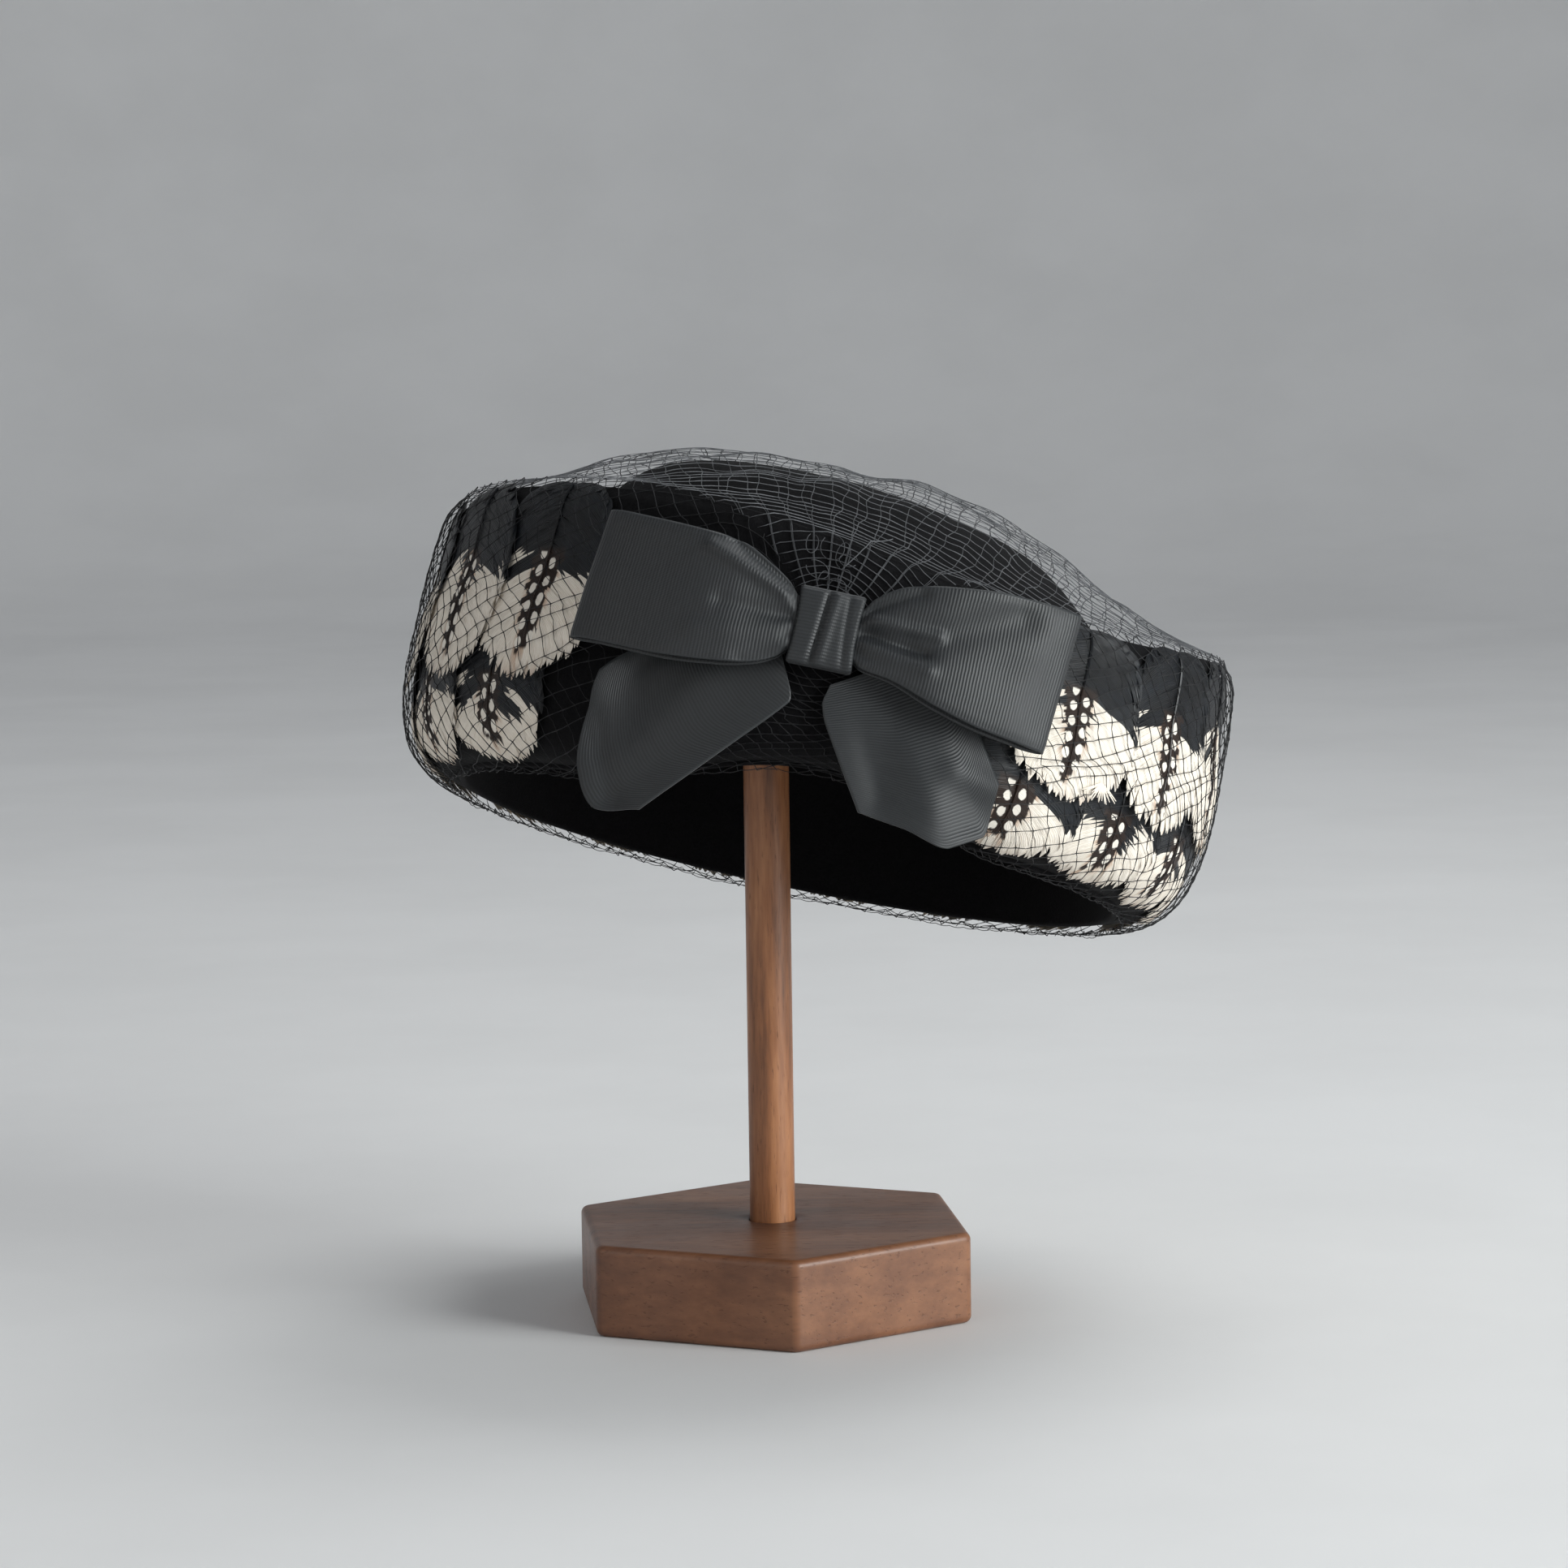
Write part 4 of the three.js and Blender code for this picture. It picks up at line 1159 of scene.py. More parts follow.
@dataclass
class Veil:
    """The net: a skewed lattice round the cuff, and a mesh over the crown that is gathered at the bow.

    Places on the net are given as a distance from the middle of the crown, which runs on down the
    cuff, and an azimuth.
    """

    form: HatForm
    plumage: Plumage
    finish: NetFinish = NetFinish()
    steep_threads: int = 126
    flat_threads: int = 63
    steep_slope: float = 0.79
    thread: float = 0.115
    cuff_thread: float = 0.098
    knot: float = 0.165
    cell: float = 5.2
    crown_step: float = 2.2
    gather_azimuth_deg: float = -2.6
    gather_below_edge: float = 23.0
    gather_width: float = 17.0
    spring: float = 25.0
    hem_drop: float = 3.0
    hem_share: float = 0.85
    cell_on_cuff: float = 0.625
    long_threads: int = 34
    mesh_from: float = 40.0
    cross_from: float = 50.0
    mesh_half: float = 190.0
    paired_to: float = 105.0
    even_from: float = 170.0
    shortest: float = 4.0
    tuft_loops: int = 9
    # Painted highlight: how much lighter the crown's, the cuff's and the hem's threads are painted.
    crown_highlight: float = 1.0
    cuff_highlight: float = 0.06
    hem_highlight: float = 0.12
    noise_ring: float = 104.0
    hem_ring: float = 90.0
    seed: int = 5
    profile: Array = field(init=False, repr=False)

    def __post_init__(self) -> None:
        """Draws the net's section: over the crown, straight to the cuff's edge and down to the hem."""
        crown, cuff = self.form.crown.curve, self.form.cuff.curve
        edge = cuff[-1, 1:3] + np.array([0.8, 0.6])
        top = crown[::-1, 1:3] + crown[::-1, 3:5] * 0.8
        slope = (top[:, 1] - edge[1]) / (edge[0] - top[:, 0] + 1e-9)
        leave = int(np.argmax(slope[: np.searchsorted(top[:, 0], 85.0)]))
        span = np.linspace(top[leave], edge, 60)[1:]
        down = cuff[::-1, 1:3][4:]
        hem = down[-1] + np.linspace(0, 1, 12)[1:, None] * np.array([-0.5, -self.hem_drop])
        line = np.concatenate([top[:leave], span, down, hem])
        out = np.concatenate(
            [crown[::-1, 3:5][:leave], np.repeat([[0.28, 0.96]], len(span), 0), cuff[::-1, 3:5][4:],
             np.repeat([[0.6, -0.3]], len(hem), 0)]
        )
        reach = np.concatenate([[0], np.cumsum(np.linalg.norm(np.diff(line, axis=0), axis=1))])
        self.span_reach = float(reach[leave])
        self.edge_reach = float(reach[leave + len(span) - 1])
        self.rim_reach = float(reach[-len(hem) - 1])
        self.profile = np.column_stack([reach, line, out])

    def seat(self, azimuth: Array, reach: Array) -> Array:
        """How far the net stands off the felt: on the feathers where they are, and puffed over the crown.

        Args:
            azimuth: Where round the hat.
            reach: Distance from the middle of the crown along the net.

        Returns:
            The room under the net.
        """
        turn = np.arctan2(np.sin(azimuth), np.cos(azimuth))
        edge_deg = self.plumage.edge_deg(turn)
        feathered = smoothstep(np.degrees(np.abs(turn)) / edge_deg, 0.62, 1.0)
        below = reach - self.edge_reach
        over = smooth_curve(
            np.array([-12, 0, 6, 24, 44, 60, 78, 90, 200]),
            np.array([0.0, 0.35, 0.8, 0.95, 1.0, 0.72, 0.55, 0.5, 0.5]),
            below,
        )
        on_cuff = 0.45 + self.plumage.upper_top * over * feathered
        puff = smoothstep(-below, 8, 55) * (0.8 + 2.6 * smoothstep(np.sin(turn), -0.1, 0.5))
        loose = ripple(np.sin(azimuth) * reach, -np.cos(azimuth) * reach, 24, self.seed)
        return on_cuff + puff + smoothstep(-below, 2, 30) * (0.5 + 0.7 * loose)

    def points(self, azimuth: Array, reach: Array, extra: Array | float = 0) -> tuple[Array, Array]:
        """Points on the net and its normals there.

        Args:
            azimuth: Where round the hat.
            reach: Distance from the middle of the crown along the net.
            extra: Room added under the net.

        Returns:
            Points and normals.
        """
        radius, height, out, up = read_rows(self.profile, reach)
        room = self.seat(azimuth, reach) + extra
        on_crown = 1 - smoothstep(reach, self.span_reach, self.edge_reach)
        base = round_points(azimuth, radius + out * room, height + up * room)
        tilt = -base[..., 0] * math.tan(math.radians(self.form.crown_slant_deg)) * on_crown
        on_cuff = reach > self.edge_reach
        fall = np.where(on_cuff, self.form.dip(azimuth, height), self.edge_fall(azimuth) * (1 - on_crown))
        base[..., 2] += tilt + self.form.arch(azimuth, height) * on_cuff - fall
        return base, round_points(azimuth, out, up)

    def edge_fall(self, azimuth: Array) -> Array:
        """How far the cuff's dip lowers the net at the cuff's edge."""
        return self.form.dip(azimuth, self.form.cuff_height)

    def reach_below(self, azimuth: Array) -> Array:
        """How far below the cuff's edge the crown's mesh ends: a bell that reaches the gather."""
        off = np.arctan2(*(f(azimuth - math.radians(self.gather_azimuth_deg)) for f in (np.sin, np.cos)))
        return self.gather_below_edge * np.exp(-((off * self.form.cuff_radius / self.gather_width) ** 2))

    def add_thread(self, made: Surface, points: Array, normals: Array, radii: Array, tone: float) -> None:
        """Adds threads as thin tubes.

        Args:
            made: The veil so far.
            points: Threads x stations x 3.
            normals: The net's normals there.
            radii: The threads' radii, or what spreads to them.
            tone: How much painted highlight the thread gets, from 0 to 1.
        """
        still = np.zeros((*points.shape[:2], 1, 2)) + np.array([tone, 0.0])
        made.add_tubes(points, normals, radii, tone=all_round(still))

    def lattice(self, made: Surface) -> None:
        """Adds the threads round the cuff.

        A steep and a flat family cross at knots. The steep one moves on by its slope, and the flat
        one back so far that its knots fall on the steep one's. Soft noise drags the knots about.

        Args:
            made: The veil so far.
        """
        around = TURN * self.form.cuff_radius
        steep_pitch, flat_pitch = around / self.steep_threads, around / self.flat_threads
        cell = self.cell * self.cell_on_cuff
        flat_slope = flat_pitch / cell - self.steep_slope
        total = self.rim_reach - self.edge_reach + self.hem_drop * self.hem_share
        families = (
            (self.steep_threads, steep_pitch, self.steep_slope, cell / 2),
            (self.flat_threads, flat_pitch, -flat_slope, cell / 4),
        )
        for heading, (count, pitch, slope, step) in enumerate(families):
            station = np.arange(int(total / step) + 1)
            down = np.broadcast_to(station * step, (count, len(station)))
            x = np.arange(count)[:, None] * pitch + slope * down
            azimuth = x / self.form.cuff_radius
            ring_x, ring_y = np.sin(azimuth) * self.noise_ring, np.cos(azimuth) * self.noise_ring
            drag = 1.5 * ripple(ring_x, ring_y + 3 * down, 34, 21)
            drag += 0.5 * ripple(ring_x, ring_y + 2 * down, 10, 22)
            sag = 1.4 * ripple(ring_x + 2 * down, ring_y, 30, 23)
            sag += 0.5 * ripple(ring_x + 2 * down, ring_y, 9, 24)
            azimuth = azimuth + drag / self.form.cuff_radius
            sunk = down + sag * smoothstep(down, 0, 8) * (1 - smoothstep(down, total - 8, total))
            dip = self.reach_below(azimuth)
            sunk = dip + (total - dip) * np.clip(sunk / total, 0, 1)
            loose = 0.2 * (1 + ripple(ring_x, ring_y + down, 14, 26))
            points, normals = self.points(azimuth, self.edge_reach + sunk, loose + 0.1 * heading)
            odd = (station[None, :] + (np.arange(count)[:, None] if heading == 0 else 0)) % 2
            radii = np.where(odd == 0, self.knot, self.cuff_thread)
            self.add_thread(made, points, normals, radii, self.cuff_highlight)
        angle = np.linspace(0, TURN, self.steep_threads * 5 + 1)[None, :]
        wave = 0.9 * ripple(np.sin(angle) * self.hem_ring, np.cos(angle) * self.hem_ring, 19, 27)
        wave += 0.55 * np.abs(np.sin(angle * self.steep_threads / 2))
        points, normals = self.points(angle, self.edge_reach + total - 0.5 + 0.6 * wave, 0.2)
        self.add_thread(made, points, normals, np.full((1, 1), self.thread), self.hem_highlight)

    def spread(self, along: Array, across: Array) -> Array:
        """Where the threads of a flat net lie once it is gathered to one point.

        They run as the flow from a spring in an even stream. With z the place seen from the
        gather, as a complex number, z + L ln z is along + i across. Newton's steps find z.

        Args:
            along: The net's own coordinate away from the gather.
            across: Its other coordinate.

        Returns:
            The place away from the gather, plus i times the place to the right.
        """
        size = self.spring
        target = along + 1j * across
        near = np.exp(np.clip(target.real / size, -30, 3)) * np.exp(1j * np.clip(across / size, -3.1, 3.1))
        outside = np.sign(across) * 1j * size * math.pi
        start = np.where(np.abs(across) < math.pi * size, near, target - outside)
        place = np.where(along > 3.2 * size, target - size * math.log(3 * size), start)
        for _ in range(40):
            error = place + size * np.log(place) - target
            pace = np.minimum(1, 0.7 * np.abs(place) / (np.abs(error) + 1e-9) + 0.05)
            place = place - error / (1 + size / place) * pace
        return place

    def crown_thread(self, made: Surface, along: Array, across: Array, extra: float, light: float) -> None:
        """Adds one thread of the crown's mesh wherever it is over the crown or above the gather.

        Args:
            made: The veil so far.
            along: The net's coordinate away from the gather, along the thread.
            across: The net's other coordinate.
            extra: Room added under the thread.
            light: How much painted highlight it gets, from 0 to 1.
        """
        place = self.spread(along, across)
        far = self.edge_reach + self.gather_below_edge
        turn = np.exp(-1j * math.radians(self.gather_azimuth_deg))
        plan = (far - place) * turn
        x, y = -plan.imag, -plan.real
        grow = 0.2 + 0.9 * smoothstep(np.abs(place), 6, 60)
        x, y = (
            x + grow * (1.0 * ripple(x, y, 26, 31) + 0.5 * ripple(x, y, 9, 32)),
            y + grow * (1.0 * ripple(x, y, 24, 33) + 0.5 * ripple(x, y, 8, 34)),
        )
        azimuth, reach = np.arctan2(x, -y), np.hypot(x, y)
        keep = reach < self.edge_reach + self.reach_below(azimuth) + 0.6
        bounds = np.flatnonzero(np.diff(np.concatenate([[0], keep.astype(int), [0]])))
        for first, last in zip(bounds[::2], bounds[1::2]):
            run = np.hypot(*(np.diff(v[first:last]) for v in (x, y)))
            walk = np.concatenate([[0], np.cumsum(run)])
            if walk[-1] < self.shortest:
                continue
            at = np.linspace(0, walk[-1], max(int(walk[-1] / self.crown_step), 3))
            x_at, y_at = (np.interp(at, walk, v[first:last]) for v in (x, y))
            points, normals = self.points(np.arctan2(x_at, -y_at), np.hypot(x_at, y_at), extra)
            radii = self.thread * (1.1 + 0.3 * np.sin(x_at * 3.1 + y_at * 2.3))
            self.add_thread(made, points[None], normals[None], radii[None], light)

    def mesh_over_crown(self, made: Surface) -> None:
        """Adds both families of the crown's mesh. Near the gather its lengthwise threads pair up.

        Args:
            made: The veil so far.
        """
        top = 2 * self.edge_reach + self.gather_below_edge + self.spring * 5.5
        run = np.linspace(self.mesh_from, top, 500)
        for number in range(-self.long_threads, self.long_threads + 1):
            pair = number // 2 * 2 + 0.5
            apart = 0.1 + 0.9 * smoothstep(run, self.paired_to, self.even_from)
            loose = pair + (number - pair) * apart
            self.crown_thread(made, run, self.cell * loose, 0.0, 0.6 * self.crown_highlight)
        sweep = np.linspace(-self.mesh_half, self.mesh_half, 620)
        for along in np.arange(self.cross_from, top, self.cell):
            self.crown_thread(made, 0 * sweep + along, sweep, 0.14, self.crown_highlight)

    def tuft(self, made: Surface) -> None:
        """Adds the loops of slack thread that stand up where the net is caught under the knot.

        Args:
            made: The veil so far.
        """
        # The tuft's threads get a strong painted highlight, as the crown's do.
        rng = np.random.default_rng(self.seed)
        azimuth = math.radians(self.gather_azimuth_deg)
        angle = np.linspace(0, 0.86 * TURN, 15)
        far = self.edge_reach + self.gather_below_edge
        for _ in range(self.tuft_loops):
            centre = rng.uniform((-8, 9), (4, 19))
            size = rng.uniform(1.3, 3.2, 2)
            phase, tilt = rng.uniform(0, TURN, 2)
            loop_x = centre[0] + size[0] * np.cos(angle + phase)
            loop_up = centre[1] + size[1] * np.sin(angle + phase)
            stand = 1.2 + 1.1 * np.sin(angle + tilt)
            points, normals = self.points(azimuth + loop_x / self.form.cuff_radius, far - loop_up, stand)
            self.add_thread(made, points[None], normals[None], np.full((1, 1), self.thread), 0.7)
        share = np.linspace(0, 1, 16)
        place = azimuth + (12.5 - 12 * share) / self.form.cuff_radius
        points, normals = self.points(place, self.edge_reach - 11 + 20 * share, 1.5)
        self.add_thread(made, points[None], normals[None], np.full((1, 1), self.thread * 1.4), 1.0)

    def build(self) -> None:
        """Makes the whole veil as one piece."""
        made = Surface()
        self.lattice(made)
        self.mesh_over_crown(made)
        self.tuft(made)
        piece = made.to_object("net_veil", self.form.to_stand)
        finish_piece(piece, self.finish.material(), Slot.NET, "veil")


# Ribbon bow


@dataclass(frozen=True)
class Fold:
    """A soft ridge, or a valley where its height is below nought, between two places on a ribbon.

    A place is a share of the way out of the knot, and a share of the ribbon's width up.
    """

    start: tuple[float, float]
    end: tuple[float, float]
    height: float
    width: float

    def read(self, out: Array, up: Array, length: float, breadth: float) -> Array:
        """Height at each place: a bell across the line between the two ends, fading past them.

        Args:
            out: Shares of the way out.
            up: Shares of the ribbon's width up.
            length: Millimetres in a whole way out.
            breadth: Millimetres in the ribbon's width.

        Returns:
            Heights in millimetres.
        """
        start = np.array(self.start) * (length, breadth)
        run = np.array(self.end) * (length, breadth) - start
        x, y = out * length - start[0], up * breadth - start[1]
        share = (x * run[0] + y * run[1]) / (run @ run)
        near = np.clip(share, 0, 1)
        gap = np.hypot(x - near * run[0], y - near * run[1])
        return self.height * np.exp(-((gap / self.width) ** 2))


@dataclass(frozen=True)
class LoopPlan:
    """One loop of the bow.

    Each row has shares: out of the knot, the ribbon's top and bottom edge, and the places of the
    back and front layer in the loop's depth.
    """

    name: str
    node: str
    side: int
    reach: float
    skew: float
    rows: tuple[tuple[float, float, float, float, float], ...]
    folds: tuple[Fold, ...]
    seed: int


@dataclass(frozen=True)
class TailPlan:
    """One tail of the bow.

    Each row has a share along the tail and the shares of the ribbon's width where its inner and
    outer edge lie. The cut is the row of lengths where the ribbon ends.
    """

    name: str
    node: str
    side: int
    fall_deg: float
    root: float
    rows: tuple[Triple, ...]
    cut: tuple[float, ...]
    folds: tuple[Fold, ...]


@dataclass
class Bow:
    """A flat bow of grosgrain: two loops, a knot and two tails."""

    form: HatForm
    plumage: Plumage
    finish: RibbonFinish = RibbonFinish()
    ribbon_width: float = 35.0
    ribbon_wall: float = 0.45
    solid_wall: float = 1.0
    height: float = 40.3
    azimuth_deg: float = -2.6
    knot_width: float = 15.0
    knot_height: float = 19.5
    knot_squareness: float = 5.0
    knot_creases: tuple[tuple[float, float, float, float], ...] = (
        (-0.75, 1.6, -1, 0.75), (0.45, -0.4, -1, 1.1), (-0.4, -4.6, 0.6, 0.7),
    )
    loop_length: float = 55.0
    loop_depth: float = 10.0
    tail_length: float = 70.0
    lay_room: float = 0.2
    veil_wall: float = 0.8
    across_steps: int = 48

    def place(self, right: Array, up: Array, off: Array) -> Array:
        """Points on the cuff's wall, from the knot round, up and out."""
        azimuth = math.radians(self.azimuth_deg) + right / self.form.cuff_radius
        return round_points(azimuth, self.form.cuff_radius + off, self.height + up)

    def seat(self, right: Array) -> Array:
        """How far a ribbon that lies on the net stands off the felt."""
        azimuth = math.radians(self.azimuth_deg) + right / self.form.cuff_radius
        edge_deg = self.plumage.edge_deg(azimuth)
        feathered = smoothstep(np.degrees(np.abs(azimuth)), edge_deg - 9, edge_deg)
        gap = self.form.contact_gap
        return 2 * gap + 0.57 + self.plumage.upper_top * feathered + self.veil_wall + self.lay_room

    @property
    def loop_seat(self) -> float:
        """How far the loops' back layer stands off the felt at the knot."""
        return float(self.seat(np.array(0.0))) + self.solid_wall + self.form.contact_gap

    def loops(self) -> tuple[LoopPlan, LoopPlan]:
        """Both loops, with the folds that the knot pulls into them."""
        left = LoopPlan(
            name="ribbon_loop_left", node="bow_loop_left", side=-1, reach=1.03, skew=0.07, seed=41,
            rows=(
                (0.02, 0.17, -0.17, 0, 0.36), (0.13, 0.185, -0.185, 0, 0.38),
                (0.18, 0.27, -0.26, 0.03, 0.46), (0.26, 0.36, -0.33, 0.12, 0.62),
                (0.4, 0.475, -0.385, 0.24, 0.85), (0.6, 0.515, -0.41, 0.35, 1),
                (0.82, 0.545, -0.385, 0.4, 1), (0.94, 0.56, -0.37, 0.42, 0.98),
            ),
            folds=(
                Fold((0.10, 0.13), (0.50, 0.40), 1.5, 1.7), Fold((0.12, 0.19), (0.42, 0.47), -1.5, 1.5),
                Fold((0.10, 0.0), (0.42, 0.04), -0.9, 2.1), Fold((0.10, -0.09), (0.5, -0.2), 0.8, 2.6),
                Fold((0.5, -0.05), (0.9, 0.1), 0.7, 7.0), Fold((0.10, -0.17), (0.3, -0.34), -0.7, 1.6),
            ),
        )
        right = LoopPlan(
            name="ribbon_loop_right", node="bow_loop_right", side=1, reach=1.02, skew=-0.05, seed=42,
            rows=(
                (0.02, 0.17, -0.17, 0, 0.36), (0.13, 0.185, -0.185, 0, 0.38),
                (0.17, 0.27, -0.225, 0.03, 0.46), (0.29, 0.4, -0.265, 0.2, 0.68),
                (0.5, 0.475, -0.39, 0.38, 0.95), (0.7, 0.515, -0.465, 0.45, 1),
                (0.86, 0.52, -0.49, 0.46, 1), (0.94, 0.515, -0.5, 0.46, 0.98),
            ),
            folds=(
                Fold((0.12, 0.12), (0.44, 0.1), 1.3, 1.5), Fold((0.12, 0.03), (0.40, -0.04), -1.3, 1.6),
                Fold((0.12, -0.06), (0.42, -0.15), 1.0, 2.0), Fold((0.36, 0.04), (0.74, 0.36), -1.7, 4.6),
                Fold((0.12, 0.16), (0.34, 0.37), -0.9, 1.5), Fold((0.85, 0.3), (0.8, -0.3), 0.7, 6.0),
            ),
        )
        return left, right

    def tails(self) -> tuple[TailPlan, TailPlan]:
        """Both tails, with their slanted and curled ends."""
        left = TailPlan(
            name="ribbon_tail_left", node="bow_tail_left", side=-1, fall_deg=47, root=0.16,
            rows=(
                (0, 0.08, 0.3), (0.12, -0.26, 0.6), (0.3, -0.27, 0.7), (0.5, -0.27, 0.71),
                (0.75, -0.27, 0.71), (1, -0.27, 0.69),
            ),
            cut=(0.88, 1.01, 0.97, 0.87, 0.7),
            folds=(
                Fold((0.2, 0.25), (0.9, 0.1), 0.9, 5.5), Fold((0.95, -0.1), (0.8, 0.6), -0.8, 3.0),
                Fold((0.75, 0.62), (0.66, 0.7), 1.6, 4.0), Fold((0.2, 0.5), (0.6, 0.6), -0.5, 3.0),
            ),
        )
        right = TailPlan(
            name="ribbon_tail_right", node="bow_tail_right", side=1, fall_deg=58.6, root=0.18,
            rows=(
                (0, -0.1, 0.3), (0.13, -0.2, 0.6), (0.3, -0.225, 0.73), (0.5, -0.225, 0.75),
                (0.75, -0.225, 0.75), (1, -0.225, 0.74),
            ),
            cut=(0.63, 0.73, 0.84, 0.84, 0.68),
            folds=(
                Fold((0.2, 0.2), (0.75, 0.25), 0.8, 5.0), Fold((0.7, 0.72), (0.6, 0.5), 1.3, 4.0),
                Fold((0.82, -0.1), (0.84, 0.5), 0.7, 2.5), Fold((0.3, 0.0), (0.6, -0.05), -0.4, 3.0),
            ),
        )
        return left, right

    def weave_maps(self, points: Array) -> Array:
        """Millimetres along and across the ribbon, measured down its middle."""
        middle = points[:, points.shape[1] // 2]
        along = np.concatenate([[0], np.cumsum(np.linalg.norm(np.diff(middle, axis=0), axis=1))])
        across = np.linspace(-0.5, 0.5, points.shape[1]) * self.ribbon_width
        return pair_up(along[:, None], across[None, :])

    def ribbon(
        self, name: str, points: Array, node: str, material: bpy.types.Material, length: float
    ) -> None:
        """Makes a piece of ribbon from its middle surface.

        Args:
            name: The piece's name.
            points: Rows along the ribbon x columns across it x 3.
            node: The solid that it replaces.
            material: Its finish.
            length: Millimetres of ribbon that it was cut from.
        """
        made = Surface()
        made.add_grids(points, weave=self.weave_maps(points))
        piece = made.to_object(name, self.form.to_stand, closed=False)
        wall = piece.modifiers.new("wall", "SOLIDIFY")
        wall.thickness = self.ribbon_wall * MM
        wall.offset = 0
        finish_piece(piece, material, Slot.RIBBON, node)
        flat = (self.ribbon_width * MM, length * MM)

    def loop(self, plan: LoopPlan, material: bpy.types.Material) -> None:
        """Makes one loop: out along its back layer, round the outer fold and in along the front.

        Args:
            plan: The loop.
            material: Its finish.
        """
        table = np.array(plan.rows)
        back = np.column_stack([table[:, :3], table[:, 3], np.zeros(len(table))])
        front = np.column_stack([table[:, :3], table[:, 4], np.ones(len(table))])[::-1]
        last = table[-1]
        angle = TURN / 2 * np.array([0.15, 0.3, 0.5, 0.7, 0.85])
        deep = last[3] + (last[4] - last[3]) * (1 - np.cos(angle)) / 2
        out = last[0] + (1 - last[0]) * np.sin(angle)
        fold = np.column_stack([out, 0 * out + last[1], 0 * out + last[2], deep, (1 - np.cos(angle)) / 2])
        stops = np.concatenate([back, fold, front])
        steps = np.hypot(np.diff(stops[:, 0]) * self.loop_length, np.diff(stops[:, 3]) * self.loop_depth)
        walk = np.concatenate([[0], np.cumsum(steps)])
        at = np.linspace(0, walk[-1], 190)
        out, top, bottom, deep, layer = (smooth_curve(walk, stops[:, k], at)[:, None] for k in range(5))
        share = np.linspace(0, 1, self.across_steps)[None, :]
        up = bottom + (top - bottom) * share
        right = out * plan.reach * self.loop_length
        right = right + plan.skew * self.loop_length * out**2 * (0.5 - share)
        off = self.loop_seat + deep * self.loop_depth + 0 * share
        pull = np.exp(-np.clip(out - 0.14, 0, 1) / 0.1) * smoothstep(out, 0.1, 0.17)
        pleats = 0.5 * np.sin(TURN * (3.2 * share + 0.1 * plan.side)) * pull
        creases = sum(f.read(out, up, plan.reach * self.loop_length, self.ribbon_width) for f in plan.folds)
        fade = smoothstep(out, 0.11, 0.2)
        buckle = 0.35 * ripple(right, up * self.ribbon_width, 22, plan.seed)
        off = off + layer * (creases * fade + pleats + buckle * fade) * (1 - 0.4 * smoothstep(out, 0.9, 1))
        edge_roll = 0.35 * smoothstep(np.abs(share - 0.5), 0.44, 0.5) * layer
        points = self.place(plan.side * right, up * self.ribbon_width, off - edge_roll)
        self.ribbon(plan.name, points, plan.node, material, float(walk[-1]) * plan.reach)

    def knot(self, material: bpy.types.Material) -> None:
        """Makes the knot: ribbon folded to three layers and wound once round the gathered loops.

        Round the loops it follows |x|⁵ + |y|⁵ = 1. Across, both edges are turned under. Each of its
        creases has a height, a shift to the left, a lean and a width.

        Args:
            material: Its finish.
        """
        inner = float(self.seat(np.array(0.0)))
        outer = self.loop_seat + self.loops()[0].rows[1][4] * self.loop_depth
        outer += self.form.contact_gap + self.solid_wall
        middle, deep = (inner + outer) / 2, (outer - inner) / 2 - 0.35
        half, bend, layer = self.knot_width / 2 - 0.3, 0.26, 0.52
        across = np.linspace(-0.5, 0.5, 71) * self.ribbon_width
        past = np.maximum(np.abs(across) - half, 0)
        turn = np.minimum(past / bend, TURN / 2)
        straight = np.maximum(past - bend * TURN / 2, 0)
        right = np.sign(across) * (np.minimum(np.abs(across), half) + bend * np.sin(turn) - straight)
        under = layer * (1 - np.cos(turn)) / 2
        angle = np.linspace(0, TURN, 121)[:, None]
        squared = 2 / self.knot_squareness
        tall = self.knot_height / 2 - 0.3
        face_up = np.sign(np.sin(angle)) * np.abs(np.sin(angle)) ** squared
        face_out = np.sign(np.cos(angle)) * np.abs(np.cos(angle)) ** squared
        front = smoothstep(face_out, 0.2, 0.9)
        slope = 0.9 * face_up
        crease = sum(
            high * np.exp(-(((right[None, :] + shift + lean * slope) / wide) ** 2))
            for high, shift, lean, wide in self.knot_creases
        )
        waist = 1 - 0.07 * (1 - face_up**2) * front
        off = middle + face_out * (deep - under[None, :]) + front * crease * (under < layer / 2)[None, :]
        up = face_up * (tall - under[None, :])
        points = self.place(right[None, :] * waist, up, off)
        wound = 2 * (self.knot_height + 2 * deep)
        self.ribbon("ribbon_knot", points, "bow_knot", material, wound * 0.93)

